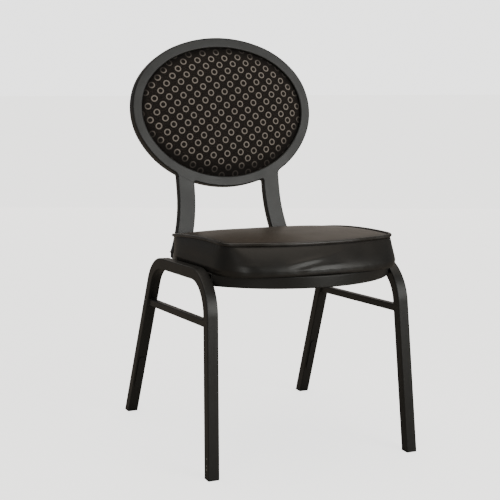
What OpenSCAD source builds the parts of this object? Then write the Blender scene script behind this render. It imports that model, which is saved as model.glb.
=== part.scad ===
// Stacking choir chair: two bent square-tube leg frames, a bowed front apron and seat frame,
// an oval back ring on two uprights, an upholstered seat and an upholstered oval back pad.
// X runs to the left and right, -Y is the front, +Z is up, the origin is under the middle.

/* [Leg frames] */
// Side of the square frame tube
tube = 25.4; // [22:0.2:27]
// Wall of the frame tubes
tube_wall = 1.2; // [1:0.1:1.6]
// Outer corner radius of the square frame tube
tube_corner = 2.5; // [2:0.25:4]
// Half the distance between the left and right foot centres
foot_half_x = 242; // [232:1:250]
// Half the distance between the front and rear foot centres
foot_half_y = 277; // [265:1:290]
// Inward lean of each leg frame, degrees
splay = 1.9; // [1:0.1:2.5]
// Backward lean of the front legs, degrees
front_lean = 5.9; // [4:0.1:8]
// Forward lean of the rear legs, degrees
rear_lean = 22.9; // [20:0.1:25]
// Height of the seat rails' centre line at mid depth
rail_h = 414; // [400:0.2:430]
// Rearward fall of the seat rails, degrees
rail_tilt = 2.8; // [1:0.1:3.5]
// Centre-line radius of the two bends of a leg frame
leg_bend_r = 88; // [75:1:100]
// Side of the square stretcher tube
stretcher = 16; // [12:0.5:20]
// Height of the stretcher's centre at the front leg
stretcher_front_h = 325.5; // [300:0.5:345]
// Height of the stretcher's centre at the rear leg
stretcher_rear_h = 304; // [280:0.5:330]

/* [Feet and bumpers] */
// Thickness of a glide's pad under the tube end
glide_pad = 3; // [2:0.5:6]
// Length of the glide's plug inside the tube
glide_plug = 22; // [12:1:35]
// Clearance round the plug
plug_clear = 0.2; // [0.1:0.05:0.4]
// Length of a stacking bumper along the rear leg
bumper_l = 92; // [60:1:120]
// Width of a stacking bumper
bumper_w = 16; // [12:0.5:18]
// Thickness of a stacking bumper on the leg's face
bumper_t = 3; // [2:0.5:5]
// Distance along the rear leg from the floor to the bumper's middle
bumper_at = 128; // [100:1:160]
// Diameter of the bumper's two push pegs
peg_d = 6; // [4:0.5:8]

/* [Seat frame] */
// Rearward fall of the seat, degrees
seat_tilt = 1.72; // [1:0.1:2.5]
// How far the board's underside lies below the top of the seat rails
board_drop = 5.2; // [4:0.2:10]
// Gap between a bearer and the leg frame beside it
bearer_gap = 0.4; // [0.3:0.1:0.6]
// Most forward line of the bowed apron
apron_front = 332; // [325:1:338]
// How far the apron bows forward of its ends at the leg frames
bow_rise = 121; // [110:1:128]
// Height of the two bearers and of the rear cross rail
bearer_h = 15; // [12:0.5:16]
// Distance behind the middle at which the bearers turn inward
bearer_turn_y = 28; // [20:1:40]
// Distance from the middle line at which the bearers meet the cross rail
bearer_end_x = 148; // [140:1:152]
// Centre-line radius of a bearer's bend
bearer_bend_r = 60; // [45:1:70]
// Centre line of the rear cross rail
cross_rail_y = 184; // [180:1:188]
// Half length of the rear cross rail
cross_rail_half = 162; // [156:1:165]
// Width of the two flat seat bars
bar_w = 35; // [30:1:50]
// Thickness of the two flat seat bars
bar_t = 3; // [3:0.5:6]
// Distance of the front seat bar behind the front tip of the bearers
front_bar_set = 53; // [40:1:70]
// Distance of the rear seat bar behind the middle
rear_bar_y = 0; // [-30:1:6]
// Distance of the seat screws from the middle line
seat_screw_x = 120; // [80:1:150]

/* [Seat] */
// Thickness of the seat board
board_t = 12; // [9:0.5:15]
// Half width of the cushion at its lower edge
seat_low_half = 212.5; // [208:0.5:214]
// Half width of the cushion at its widest, above the rails
seat_wide_half = 215; // [212:0.5:222]
// Half width of the cushion at the top seam
seat_top_half = 204; // [192:0.5:206]
// Most forward line of the cushion's lower edge
seat_low_front = 321; // [315:0.5:325]
// Most forward line of the cushion at its fullest
seat_wide_front = 326; // [320:0.5:329]
// Most forward line of the top seam
seat_top_front = 292; // [285:0.5:300]
// Most rearward line of the cushion
seat_rear_y = 180; // [174:0.5:182]
// Height of the top seam above the board's underside at its highest
seam_h = 67; // [60:0.5:75]
// How far in front of the middle the top seam is highest
seam_peak_y = 165; // [120:1:200]
// Lengthwise radius of the top seam line
seam_r = 2150; // [2000:50:3500]
// Crown of the top above the seam line
seat_crown = 4.5; // [3:0.5:10]
// Thickness of the vinyl cover
cover_t = 1.2; // [0.8:0.1:2]
// Radius of the piping cord
piping_r = 3.4; // [2.5:0.1:4]
// Width of the cover's hem under the board
hem_w = 20; // [14:1:30]

/* [Back frame] */
// Backward lean of the back, degrees
back_lean = 12; // [8:0.1:14]
// Distance of the oval's centre behind the middle, at the front face
back_y = 245.2; // [235:0.2:255]
// Height of the oval's centre
back_z = 753.2; // [735:0.2:770]
// Half width of the oval
oval_half_w = 239.5; // [220:0.5:245]
// Drop from the oval's widest line to its lowest point
oval_low = 194.5; // [185:0.5:200]
// Rise from the oval's widest line to its highest point
oval_high = 181.5; // [172:0.5:186]
// Radius of the oval's lower shoulders
oval_low_shoulder_r = 212; // [205:0.5:216]
// Radius of the oval's upper shoulders
oval_high_shoulder_r = 216; // [212:0.5:222]
// Width of the ring's front face
ring_face = 25.4; // [20:0.2:26]
// Depth of the ring from front to rear
ring_depth = 28; // [22:0.5:30]
// Corner radius of the ring's section
ring_corner = 3.5; // [2.5:0.25:5]
// Distance of the uprights' straight part from the middle line
upright_x = 115; // [105:0.5:122]
// Width of an upright's front face
upright_w = 43; // [36:0.5:46]
// Depth of an upright
upright_depth = 20; // [16:0.5:21]
// Corner radius of an upright's section
upright_corner = 3; // [2.5:0.25:5]
// Distance below the oval's centre at which the uprights start to curve outward
upright_turn = 195; // [190:1:205]
// Radius of the uprights' outward curve
upright_r = 420; // [380:5:500]

/* [Back pad] */
// Gap between the pad and the ring
pad_gap = 1; // [0.8:0.1:3]
// Depth of the front pad's rim behind the ring's front face
pad_rim = 3; // [1:0.5:5]
// Height of the front pad's crown above its rim
pad_crown = 14; // [8:0.5:20]
// Depth of the back board's front face behind the ring's front face
back_board_d = 6; // [5:0.5:7]
// Thickness of the back board
back_board_t = 8; // [7:0.5:9]
// Thickness of the four mounting tabs
tab_t = 2.5; // [2:0.25:3]
// Width of a mounting tab
tab_w = 26; // [20:1:32]
// Reach of a mounting tab from the ring's inner side
tab_l = 38; // [34:1:44]
// Distance of a tab's screw from the ring's inner side
tab_screw_at = 28; // [27:0.5:30]
// Thickness of the rear panel
panel_t = 3; // [3:0.25:4]
// Thickness of the foam behind the rear panel, at the rim
rear_foam_t = 2; // [1:0.25:4]
// Crown of the rear pad
rear_crown = 6; // [3:0.5:10]

/* [Hidden] */

// Smoothness of round parts and of bends
round_fn = 32;
bend_fn = 96;
// Overrun of every cutting shape, and a length longer than any tube end that is cut off
over = 1;
reach = 40;
// Largest turn between two stations of a bend, and the points round a corner of a bent tube
bend_step_a = 9.6;
corner_n = 3;
ring_corner_n = 2;
// Span of the half spaces that trim tube ends
trim = 900;

frame_colour = "#2b2b29";
vinyl_colour = "#26221f";
ring_fabric_colour = "#3a332e";
ply_colour = "#b58d5c";
foam_colour = "#d9cf9f";
plastic_colour = "#161616";
zinc_colour = "#a9a9a4";
cloth_colour = "#1b1b1b";

// The oval's lowest and highest points lie equally far from its centre
oval_mid_v = (oval_low - oval_high) / 2;
oval_top_v = oval_high + oval_mid_v;
// The chair is centred front to back between the bowed apron and the top of the ring
rear_most = back_y + oval_top_v * sin(back_lean) + ring_depth * cos(back_lean);
shift_y = (apron_front - rear_most) / 2;

// Seat plane: its origin is the underside of the seat board on the middle line
seat_z = rail_h + tube / 2 - board_drop;
frame_top = -cover_t;
bearer_x = foot_half_x - (rail_h + tube) * tan(splay) - tube - bearer_gap;
leg_inner_x = bearer_x + tube / 2 + bearer_gap;
bow_r = (pow(leg_inner_x, 2) + pow(bow_rise, 2)) / (2 * bow_rise);
bow_c = [0, bow_r - apron_front];
bow_reach_a = 78;
bow_step_a = 6;
tube_in = tube - 2 * tube_wall;
tube_in_corner = tube_corner - tube_wall;

// Corner points of a leg frame in its own plane, as [depth, height]
front_foot = [-foot_half_y, 0];
rear_foot = [foot_half_y, 0];
rail_slope = tan(rail_tilt);
front_corner_y = (-foot_half_y + rail_h * tan(front_lean)) / (1 + rail_slope * tan(front_lean));
rear_corner_y = (foot_half_y - rail_h * tan(rear_lean)) / (1 - rail_slope * tan(rear_lean));
front_corner = [front_corner_y, rail_h - rail_slope * front_corner_y];
rear_corner = [rear_corner_y, rail_h - rail_slope * rear_corner_y];
front_start = front_foot - reach * [sin(front_lean), cos(front_lean)];
rear_end = rear_foot + reach * [sin(rear_lean), -cos(rear_lean)];
leg_path = [front_start, front_corner, rear_corner, rear_end];

// Fasteners
seat_screw_d = 6;
seat_screw_head_d = 12;
seat_screw_head_h = 3.6;
seat_screw_clear = 0.5;
t_nut_flange_d = 20;
t_nut_flange_h = 1.4;
t_nut_barrel_d = 8;
t_nut_clear = 0.15;
t_nut_lead = 1.5;
thread_clear = 0.05;
foam_clear = 0.3;
back_screw_d = 5;
back_screw_head_d = 9;
back_screw_head_h = 2.4;
back_nut_flange_d = 16;
back_nut_flange_h = 1.2;
back_nut_barrel_d = 6.6;
panel_clear = 1;
clip_d = 6;
clip_head_d = 11;
clip_head_h = 1.2;
clip_depth = 5;
peg_clear = 0.1;
peg_past = 1;

// Points round a seat outline: front bow, front corners, sides, rear corners, rear bow
bow_n = 10;
front_corner_n = 6;
side_n = 3;
rear_corner_n = 7;
rear_bow_n = 6;
seat_front_low_r = 546;
seat_front_top_r = 520;
seat_corner_low_r = 92;
seat_corner_top_r = 36;
seat_rear_r = 450;
seat_rear_corner_low_r = 180;
seat_rear_corner_top_r = 140;
seat_mid_y = -55;
side_bulge_power = 1.3;
seat_edge_power = 6;
seat_rise_shares = [0, 0.33, 0.67, 1];
bulge_h = board_t;
waist_h = 8;
waist_out = 1;
seat_shrink_shares = [1, 0.975, 0.93, 0.85, 0.7, 0.45, 0.2];

// Angles that the arcs of the oval turn through, from its lowest and its highest point
low_arc_a = 31;
low_shoulder_a = 32;
high_arc_a = 22;
high_shoulder_a = 27;
pad_step_a = 9;
upright_sweep_a = 42;
ring_step_a = 7.2;
butt_gap = 0.3;
pad_shrink_shares = [1, 0.975, 0.92, 0.83, 0.66, 0.36];
pad_edge_power = 7;
pad_edge_share = 0.4;
tab_angles = [38, 142, 216, 324];
tab_fit = 0.6;
clip_angles = [10, 90, 170, 230, 270, 310];
clip_place_share = 0.72;

// A length turned by an angle, as a flat vector
function along(a, l) = l * [cos(a), sin(a)];
function heading(p, q) = atan2(q.y - p.y, q.x - p.x);
function turn(a, b) = (b - a + 540) % 360 - 180;
function mix(a, b, share) = a + (b - a) * share;
function lift(points, z) = [for (p = points) [p.x, p.y, z]];
function reversed(list) = [for (i = [len(list) - 1:-1:0]) list[i]];
function shrink(points, centre, share) = [for (p = points) centre + (p - centre) * share];
function arc_points(c, r, from, to, n) = [for (i = [0:n - 1]) c + along(from + (to - from) * i / n, r)];

// A closed skin of triangles through a list of rings, each a loop of as many points
function band(i, j, n) = [for (k = [0:n - 1]) each [
    [i * n + k, i * n + (k + 1) % n, j * n + (k + 1) % n],
    [i * n + k, j * n + (k + 1) % n, j * n + k]]];
function fan(i, tip, n, up) = [for (k = [0:n - 1])
    up ? [i * n + k, i * n + (k + 1) % n, tip] : [i * n + (k + 1) % n, i * n + k, tip]];

module skin(rings, low_tip, high_tip) {
    n = len(rings[0]);
    m = len(rings);
    polyhedron(
        points = concat([for (ring = rings) each ring], [low_tip, high_tip]),
        faces = concat(
            [for (i = [0:m - 2]) each band(i, i + 1, n)],
            fan(0, m * n, n, false),
            fan(m - 1, m * n + 1, n, true)));
}

module closed_skin(rings) {
    n = len(rings[0]);
    m = len(rings);
    polyhedron(
        points = [for (ring = rings) each ring],
        faces = [for (i = [0:m - 1]) each band(i, (i + 1) % m, n)]);
}

// Section of a tube with round corners, centred
module section(w, h, r) {
    square([w - 2 * r, h], center = true);
    square([w, h - 2 * r], center = true);
    for (x = [-1, 1], y = [-1, 1])
        translate([x * (w / 2 - r), y * (h / 2 - r)]) circle(r, $fn = round_fn);
}

// Straight and curved stretches of a tube in the XY plane; w lies in the plane, h across it
module stretch(p, q, w, h, r) {
    translate(p) rotate([0, 0, heading(p, q)]) rotate([90, 0, 90])
        linear_extrude(norm(q - p)) section(w, h, r);
}

module curve(c, radius, from, to, w, h, r) {
    translate(c) rotate([0, 0, from])
        rotate_extrude(angle = to - from, $fn = bend_fn) translate([radius, 0]) section(w, h, r);
}

// Stations [place, heading] of a tube through corner points, with the same radius at each corner
function corner_stations(corner, a, b, radius) =
    let (
        t = turn(a, b),
        side = t > 0 ? 1 : -1,
        centre = corner - along(a, radius * tan(abs(t) / 2)) + along(a + side * 90, radius),
        n = ceil(abs(t) / bend_step_a))
    [for (k = [0:n]) let (h = a + t * k / n) [centre - along(h + side * 90, radius), h]];

function path_stations(points, radius) =
    let (
        last = len(points) - 1,
        a = [for (i = [0:last - 1]) heading(points[i], points[i + 1])])
    concat(
        [[points[0], a[0]]],
        [for (i = [1:last - 1]) each corner_stations(points[i], a[i - 1], a[i], radius)],
        [[points[last], a[last - 1]]]);

// Outline of a tube's section with chamfered or three-point corners
function section_points(w, h, r, corner_n) =
    let (x = w / 2 - r, y = h / 2 - r, corners = [[x, y], [-x, y], [-x, -y], [x, -y]])
    [for (q = [0:3]) for (k = [0:corner_n - 1]) corners[q] + along(90 * (q + k / (corner_n - 1)), r)];

// A point moved along a heading to a line [place, direction]
function slide(p, h, line) =
    let (d = along(h, 1), e = along(line[1], 1), g = line[0] - p)
    p + d * (g.x * e.y - g.y * e.x) / (d.x * e.y - d.y * e.x);

// Rings of a tube along its stations; the two ends are cut along lines
function tube_rings(stations, section, start, end) =
    let (last = len(stations) - 1)
    [for (i = [0:last])
        let (h = stations[i][1])
        [for (q = section)
            let (
                p = stations[i][0] + along(h + 90, q.x),
                f = i == 0 ? slide(p, h, start) : i == last ? slide(p, h, end) : p)
            [f.x, f.y, q.y]]];

module hollow_tube(stations, w, h, r, corner_n, start, end) {
    outer = section_points(w, h, r, corner_n);
    inner = section_points(w - 2 * tube_wall, h - 2 * tube_wall, r - tube_wall, corner_n);
    closed_skin(concat(
        tube_rings(stations, outer, start, end),
        reversed(tube_rings(stations, inner, start, end))));
}

// Frames of reference
module in_room() { translate([0, shift_y, 0]) children(); }
module in_side(s) { in_room() translate([s * foot_half_x, 0, 0]) rotate([0, -s * splay, 0]) children(); }
module in_side_plane(s) { in_side(s) rotate([90, 0, 90]) children(); }
module in_seat() { in_room() translate([0, 0, seat_z]) rotate([-seat_tilt, 0, 0]) children(); }
module in_back() { in_room() translate([0, back_y, back_z]) rotate([90 - back_lean, 0, 0]) children(); }
module slab(low, high) { translate([-trim, -trim, low]) cube([2 * trim, 2 * trim, high - low]); }

// Leg frames
module on_rear_leg(s) {
    in_side_plane(s) translate(rear_foot + along(90 + rear_lean, bumper_at))
        rotate([0, 0, 90 + rear_lean]) children();
}

module peg_places() {
    for (x = [-1, 1]) translate([x * bumper_l / 4, 0, 0]) children();
}

module side_frame(s) {
    color(frame_colour) difference() {
        in_side_plane(s) hollow_tube(path_stations(leg_path, leg_bend_r), tube, tube, tube_corner, corner_n,
            [[0, glide_pad], 0], [[0, glide_pad], 0]);
        on_rear_leg(s) peg_places() rotate([-90, 0, 0])
            cylinder(d = peg_d + 2 * peg_clear, h = tube / 2 + over, $fn = round_fn);
    }
}

module stretcher_bar(s, w, r) {
    in_side_plane(s) stretch(
        [-foot_half_y + stretcher_front_h * tan(front_lean), stretcher_front_h],
        [foot_half_y - stretcher_rear_h * tan(rear_lean), stretcher_rear_h], w, w, r);
}

// Everything on the outer side of a leg's inner face, seen from the side
module beyond_face(s, foot, lean, side) {
    in_side_plane(s) translate(foot) rotate([0, 0, 90 - lean])
        translate([0, side > 0 ? -tube / 2 : tube / 2 - trim, -trim / 2]) cube([trim, trim, trim]);
}

module side_stretcher(s) {
    color(frame_colour) difference() {
        stretcher_bar(s, stretcher, tube_corner);
        stretcher_bar(s, stretcher - 2 * tube_wall, tube_in_corner);
        beyond_face(s, front_foot, front_lean, 1);
        beyond_face(s, rear_foot, -rear_lean, -1);
    }
}

// A glide: a pad on the floor and a plug up inside the tube
module glide(s, foot, lean) {
    color(plastic_colour) {
        intersection() {
            leg_stub(s, foot, lean, tube, tube_corner);
            slab(0, trim);
            in_side_plane(s) translate([-trim, -trim, -trim]) cube([2 * trim, trim + glide_pad, 2 * trim]);
        }
        intersection() {
            leg_stub(s, foot, lean, tube_in - 2 * plug_clear, tube_in_corner);
            in_side_plane(s) translate([-trim, glide_pad, -trim]) cube([2 * trim, glide_plug, 2 * trim]);
        }
    }
}

module leg_stub(s, foot, lean, w, r) {
    in_side_plane(s) stretch(foot - along(90 + lean, reach), foot + along(90 + lean, 2 * reach), w, w, r);
}

module stack_bumper(s) {
    flat_l = bumper_l - bumper_w;
    color(plastic_colour) on_rear_leg(s) rotate([-90, 0, 0]) {
        translate([0, 0, tube / 2]) {
            linear_extrude(bumper_t) {
                square([flat_l, bumper_w], center = true);
                for (x = [-1, 1]) translate([x * flat_l / 2, 0]) circle(d = bumper_w, $fn = round_fn);
            }
        }
        peg_places() translate([0, 0, tube_in / 2 - peg_past])
            cylinder(d = peg_d, h = tube / 2 - tube_in / 2 + peg_past + over, $fn = round_fn);
    }
}

// Seat frame, in the seat plane
module beyond_leg(s) {
    in_side(s) translate([s > 0 ? -tube / 2 : tube / 2 - trim, -trim, -trim])
        cube([trim, 2 * trim, 2 * trim]);
}

module front_apron() {
    stations = [for (a = [-bow_reach_a:bow_step_a:bow_reach_a]) [bow_c + along(a - 90, bow_r - tube / 2), a]];
    color(frame_colour) difference() {
        in_seat() translate([0, 0, frame_top - tube / 2])
            hollow_tube(stations, tube, tube, tube_corner, corner_n,
                [bow_c, -90 - bow_reach_a], [bow_c, bow_reach_a - 90]);
        beyond_leg(-1);
        beyond_leg(1);
    }
}

// Where the apron's inner side lies at a distance from the middle line
function bow_inner_y(x) = bow_c.y - sqrt(max(0, pow(bow_r - tube, 2) - x * x));
cope = [for (x = [bearer_x - tube / 2, bearer_x + tube / 2]) [x, bow_inner_y(x)]];
front_bar_y = -cope[0].y - front_bar_set;

// A bearer is coped to the apron in front and ends on the cross rail behind
module seat_bearer(m) {
    route = [[bearer_x, cope[0].y], [bearer_x, bearer_turn_y], [bearer_end_x, cross_rail_y]];
    color(frame_colour) in_seat() mirror([m, 0, 0]) translate([0, 0, frame_top - bearer_h / 2])
        hollow_tube(path_stations(route, bearer_bend_r), tube, bearer_h, tube_corner, corner_n,
            [cope[0], heading(cope[0], cope[1])], [[0, cross_rail_y - tube / 2], 0]);
}

module rear_cross_rail() {
    ends = [[-cross_rail_half, cross_rail_y], [cross_rail_half, cross_rail_y]];
    color(frame_colour) in_seat() translate([0, 0, frame_top - bearer_h / 2]) difference() {
        stretch(ends[0], ends[1], tube, bearer_h, tube_corner);
        stretch(ends[0] - [over, 0], ends[1] + [over, 0], tube_in, bearer_h - 2 * tube_wall,
            tube_in_corner);
    }
}

module seat_bar(y) {
    half = bearer_x - tube / 2;
    color(frame_colour) in_seat() difference() {
        translate([-half, y - bar_w / 2, frame_top - bar_t]) cube([2 * half, bar_w, bar_t]);
        for (x = [-1, 1]) translate([x * seat_screw_x, y, frame_top - bar_t - over])
            cylinder(d = seat_screw_d + 2 * seat_screw_clear, h = bar_t + 2 * over, $fn = round_fn);
    }
}

module seat_screw_places() {
    for (x = [-1, 1], y = [-front_bar_y, rear_bar_y]) translate([x * seat_screw_x, y, 0]) children();
}

// Seat cushion, in the seat plane; grow moves a surface outward by the cover's thickness
function seam_z(y) = seam_h - pow(y + seam_peak_y, 2) / (2 * seam_r);

function seat_outline(half, front, front_r, corner_r, rear_corner_r) =
    let (
        f = [0, front_r - front],
        c = [half - corner_r, f.y - sqrt(pow(front_r - corner_r, 2) - pow(half - corner_r, 2))],
        r = [0, seat_rear_y - seat_rear_r],
        k = [half - rear_corner_r,
            r.y + sqrt(pow(seat_rear_r - rear_corner_r, 2) - pow(half - rear_corner_r, 2))],
        fa = heading(f, c),
        ra = heading(r, k),
        c_left = [-c.x, c.y],
        k_left = [-k.x, k.y])
    concat(
        arc_points(f, front_r, -180 - fa, fa, bow_n),
        arc_points(c, corner_r, fa, 0, front_corner_n),
        [for (i = [0:side_n - 1]) [half, mix(c.y, k.y, i / side_n)]],
        arc_points(k, rear_corner_r, 0, ra, rear_corner_n),
        arc_points(r, seat_rear_r, ra, 180 - ra, rear_bow_n),
        arc_points(k_left, rear_corner_r, 180 - ra, 180, rear_corner_n),
        [for (i = [0:side_n - 1]) [-half, mix(k.y, c.y, i / side_n)]],
        arc_points(c_left, corner_r, 180, 180 - fa, front_corner_n));

// Points moved outward by a distance, square to the outline
function widen(points, by) =
    let (n = len(points))
    [for (i = [0:n - 1])
        let (d = points[(i + 1) % n] - points[(i + n - 1) % n])
        points[i] + by * [d.y, -d.x] / norm(d)];

function low_outline() =
    seat_outline(seat_low_half, seat_low_front, seat_front_low_r, seat_corner_low_r, seat_rear_corner_low_r);
function side_outline(share) =
    let (s = pow(share, side_bulge_power))
    seat_outline(mix(seat_wide_half, seat_top_half, s), mix(seat_wide_front, seat_top_front, s),
        mix(seat_front_low_r, seat_front_top_r, s), mix(seat_corner_low_r, seat_corner_top_r, s),
        mix(seat_rear_corner_low_r, seat_rear_corner_top_r, s));

// A ring of the cushion's side, at a share of the way from the bulge to the seam less a drop
function side_ring(share, grow, drop) =
    [for (p = widen(side_outline(share), grow)) [p.x, p.y, mix(bulge_h, seam_z(p.y) - drop, share)]];
function waist_ring(grow) = lift(widen(low_outline(), waist_out + grow), waist_h);
// A ring of the cushion's top, drawn in from the seam
function top_ring(share, grow, inset) =
    [for (p = shrink(widen(side_outline(1), -inset), [0, seat_mid_y], share))
        [p.x, p.y, seam_z(p.y) + seat_crown * (1 - pow(share, seat_edge_power)) + grow]];
function top_tip(grow) = [0, seat_mid_y, seam_z(seat_mid_y) + seat_crown + grow];
seam_seat = piping_r + 2 * plug_clear;

module seat_board() {
    color(ply_colour) in_seat() difference() {
        linear_extrude(board_t) polygon(widen(low_outline(), -cover_t));
        seat_screw_places() {
            translate([0, 0, -over]) cylinder(d = t_nut_barrel_d + 2 * t_nut_clear,
                h = board_t + 2 * over, $fn = round_fn);
            translate([0, 0, board_t - t_nut_flange_h])
                cylinder(d = t_nut_flange_d + 2 * t_nut_clear, h = t_nut_flange_h + over, $fn = round_fn);
        }
    }
}

module seat_foam() {
    sides = [for (s = seat_rise_shares) side_ring(s, -cover_t - foam_clear, seam_seat)];
    tops = [for (s = seat_shrink_shares) top_ring(s, -foam_clear, seam_seat + cover_t)];
    color(foam_colour) in_seat() skin(concat(sides, tops), [0, seat_mid_y, bulge_h], top_tip(-foam_clear));
}

module seat_top_cover() {
    n = len(seat_shrink_shares);
    inner = [for (i = [n - 1:-1:0]) top_ring(seat_shrink_shares[i], 0, seam_seat + cover_t)];
    outer = [for (s = seat_shrink_shares) top_ring(s, cover_t, seam_seat)];
    color(vinyl_colour) in_seat() skin(concat(inner, outer), top_tip(0), top_tip(cover_t));
}

module seat_boxing() {
    n = len(seat_rise_shares);
    hem = shrink(low_outline(), [0, seat_mid_y], 1 - hem_w / seat_low_half);
    outer = [for (s = seat_rise_shares) side_ring(s, 0, seam_seat)];
    inner = [for (i = [n - 1:-1:0]) side_ring(seat_rise_shares[i], -cover_t, seam_seat)];
    rings = concat(
        [lift(hem, -cover_t), lift(low_outline(), -cover_t), lift(low_outline(), 0), waist_ring(0)],
        outer, inner,
        [waist_ring(-cover_t), lift(widen(low_outline(), -cover_t), 0), lift(hem, 0)]);
    color(vinyl_colour) in_seat() closed_skin(rings);
}

module seat_piping() {
    sides = 8;
    line = side_outline(1);
    step = 360 / sides;
    rings = [for (i = [0:sides - 1])
        let (a = i * step, out = piping_r * cos(a), up = piping_r * sin(a))
        [for (p = widen(line, out)) [p.x, p.y, seam_z(p.y) + up]]];
    color(vinyl_colour) in_seat() closed_skin(rings);
}

module seat_dust_cover() {
    inside = shrink(low_outline(), [0, seat_mid_y], 1 - (hem_w + over) / seat_low_half);
    color(cloth_colour) in_seat() difference() {
        translate([0, 0, -cover_t]) linear_extrude(cover_t) polygon(inside);
        seat_screw_places() translate([0, 0, -cover_t - over])
            cylinder(d = t_nut_barrel_d + 2 * t_nut_clear, h = cover_t + 2 * over, $fn = round_fn);
    }
}

module t_nut(bore_d, barrel_d, barrel_h, flange_d, flange_h) {
    difference() {
        union() {
            cylinder(d = flange_d, h = flange_h, $fn = round_fn);
            translate([0, 0, -barrel_h]) cylinder(d = barrel_d, h = barrel_h + flange_h / 2, $fn = round_fn);
        }
        translate([0, 0, -barrel_h - over])
            cylinder(d = bore_d, h = barrel_h + flange_h + 2 * over, $fn = round_fn);
    }
}

module seat_t_nuts() {
    color(zinc_colour) in_seat() seat_screw_places() translate([0, 0, board_t - t_nut_flange_h])
        t_nut(seat_screw_d + 2 * thread_clear, t_nut_barrel_d, board_t - t_nut_flange_h - t_nut_lead,
            t_nut_flange_d, t_nut_flange_h);
}

module seat_screws() {
    color(zinc_colour) in_seat() seat_screw_places() translate([0, 0, frame_top - bar_t]) {
        cylinder(d = seat_screw_d, h = bar_t + cover_t + board_t - t_nut_flange_h, $fn = round_fn);
        translate([0, 0, -seat_screw_head_h])
            cylinder(d = seat_screw_head_d, h = seat_screw_head_h, $fn = round_fn);
    }
}

// Oval of the back, in the plane of its front face: three tangent arcs to a quarter
function quarter_radii(dx, dy, a1, a2, mid_r) =
    let (
        s1 = sin(a1), c1 = cos(a1), s2 = sin(a1 + a2), c2 = cos(a1 + a2),
        x = dx - mid_r * (s2 - s1), y = dy - mid_r * (c1 - c2),
        det = s1 * c2 - (1 - s2) * (1 - c1))
    [(x * c2 - (1 - s2) * y) / det, (s1 * y - (1 - c1) * x) / det];

low_radii = quarter_radii(oval_half_w, oval_low, low_arc_a, low_shoulder_a, oval_low_shoulder_r);
high_radii = quarter_radii(oval_half_w, oval_high, high_arc_a, high_shoulder_a, oval_high_shoulder_r);
low_v = oval_mid_v - oval_low;
low_c = [0, low_v + low_radii[0]];
low_shoulder_c = low_c + along(low_arc_a - 90, low_radii[0] - oval_low_shoulder_r);
low_side_c = low_shoulder_c + along(low_arc_a + low_shoulder_a - 90, oval_low_shoulder_r - low_radii[1]);
high_c = [0, oval_top_v - high_radii[0]];
high_shoulder_c = high_c + along(90 - high_arc_a, high_radii[0] - oval_high_shoulder_r);
high_side_c = high_shoulder_c
    + along(90 - high_arc_a - high_shoulder_a, oval_high_shoulder_r - high_radii[1]);
function left(c) = [-c.x, c.y];
oval_arcs = [
    [low_c, low_radii[0], -90, low_arc_a - 90],
    [low_shoulder_c, oval_low_shoulder_r, low_arc_a - 90, low_arc_a + low_shoulder_a - 90],
    [low_side_c, low_radii[1], low_arc_a + low_shoulder_a - 90, 0],
    [high_side_c, high_radii[1], 0, 90 - high_arc_a - high_shoulder_a],
    [high_shoulder_c, oval_high_shoulder_r, 90 - high_arc_a - high_shoulder_a, 90 - high_arc_a],
    [high_c, high_radii[0], 90 - high_arc_a, 90 + high_arc_a],
    [left(high_shoulder_c), oval_high_shoulder_r, 90 + high_arc_a, 90 + high_arc_a + high_shoulder_a],
    [left(high_side_c), high_radii[1], 90 + high_arc_a + high_shoulder_a, 180],
    [left(low_side_c), low_radii[1], 180, 270 - low_arc_a - low_shoulder_a],
    [left(low_shoulder_c), oval_low_shoulder_r, 270 - low_arc_a - low_shoulder_a, 270 - low_arc_a],
    [low_c, low_radii[0], 270 - low_arc_a, 270]];

function oval(inset) = [for (a = oval_arcs) each
    arc_points(a[0], a[1] - inset, a[2], a[3], ceil((a[3] - a[2]) / pad_step_a))];
// The place on the ring's inner side in a direction from its middle
function oval_edge(a) =
    let (near = [for (p = oval(ring_face)) [abs(turn(atan2(p.y, p.x), a)), p]], best = min([for (n = near) n[0]]))
    [for (n = near) if (n[0] == best) n[1]][0];

// Stations of the ring's tube, from its butt joint at the lowest point and round to it again
ring_stations = [
    for (a = oval_arcs) let (n = ceil((a[3] - a[2]) / ring_step_a))
        for (k = [0:n - 1]) let (t = a[2] + (a[3] - a[2]) * k / n)
            [a[0] + along(t, a[1] - ring_face / 2), t + 90],
    [low_c + along(270, low_radii[0] - ring_face / 2), 360]];

module back_ring() {
    color(frame_colour) in_back() translate([0, 0, -ring_depth / 2])
        hollow_tube(ring_stations, ring_face, ring_depth, ring_corner, ring_corner_n,
            [[butt_gap / 2, 0], 90], [[-butt_gap / 2, 0], 90]);
}

module upright_path(w, h, r) {
    translate([0, 0, -upright_depth / 2]) {
        stretch([upright_x, -upright_turn], [upright_x, -upright_turn + reach + upright_w / 2], w, h, r);
        curve([upright_x + upright_r, -upright_turn], upright_r, 180, 180 + upright_sweep_a, w, h, r);
    }
}

module back_upright(m) {
    color(frame_colour) difference() {
        in_back() mirror([m, 0, 0]) difference() {
            upright_path(upright_w, upright_depth, upright_corner);
            upright_path(upright_w - 2 * tube_wall, upright_depth - 2 * tube_wall, upright_corner - tube_wall);
        }
        in_back() translate([low_c.x, low_c.y, -ring_depth - over])
            cylinder(r = low_radii[0], h = ring_depth + 2 * over, $fn = bend_fn);
        in_seat() slab(-trim, frame_top);
    }
}

// Back pad, measured by depth behind the ring's front face
board_inset = ring_face + pad_gap + cover_t;
back_board_rear = back_board_d + back_board_t;
tab_front = back_board_rear + cover_t;
tab_rear = tab_front + tab_t;
panel_rear = tab_rear + panel_t;

module tab_places() {
    for (a = tab_angles)
        translate([oval_edge(a).x, oval_edge(a).y, 0]) rotate([0, 0, 180 + atan2(oval_edge(a).y, oval_edge(a).x)])
            children();
}

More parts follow.
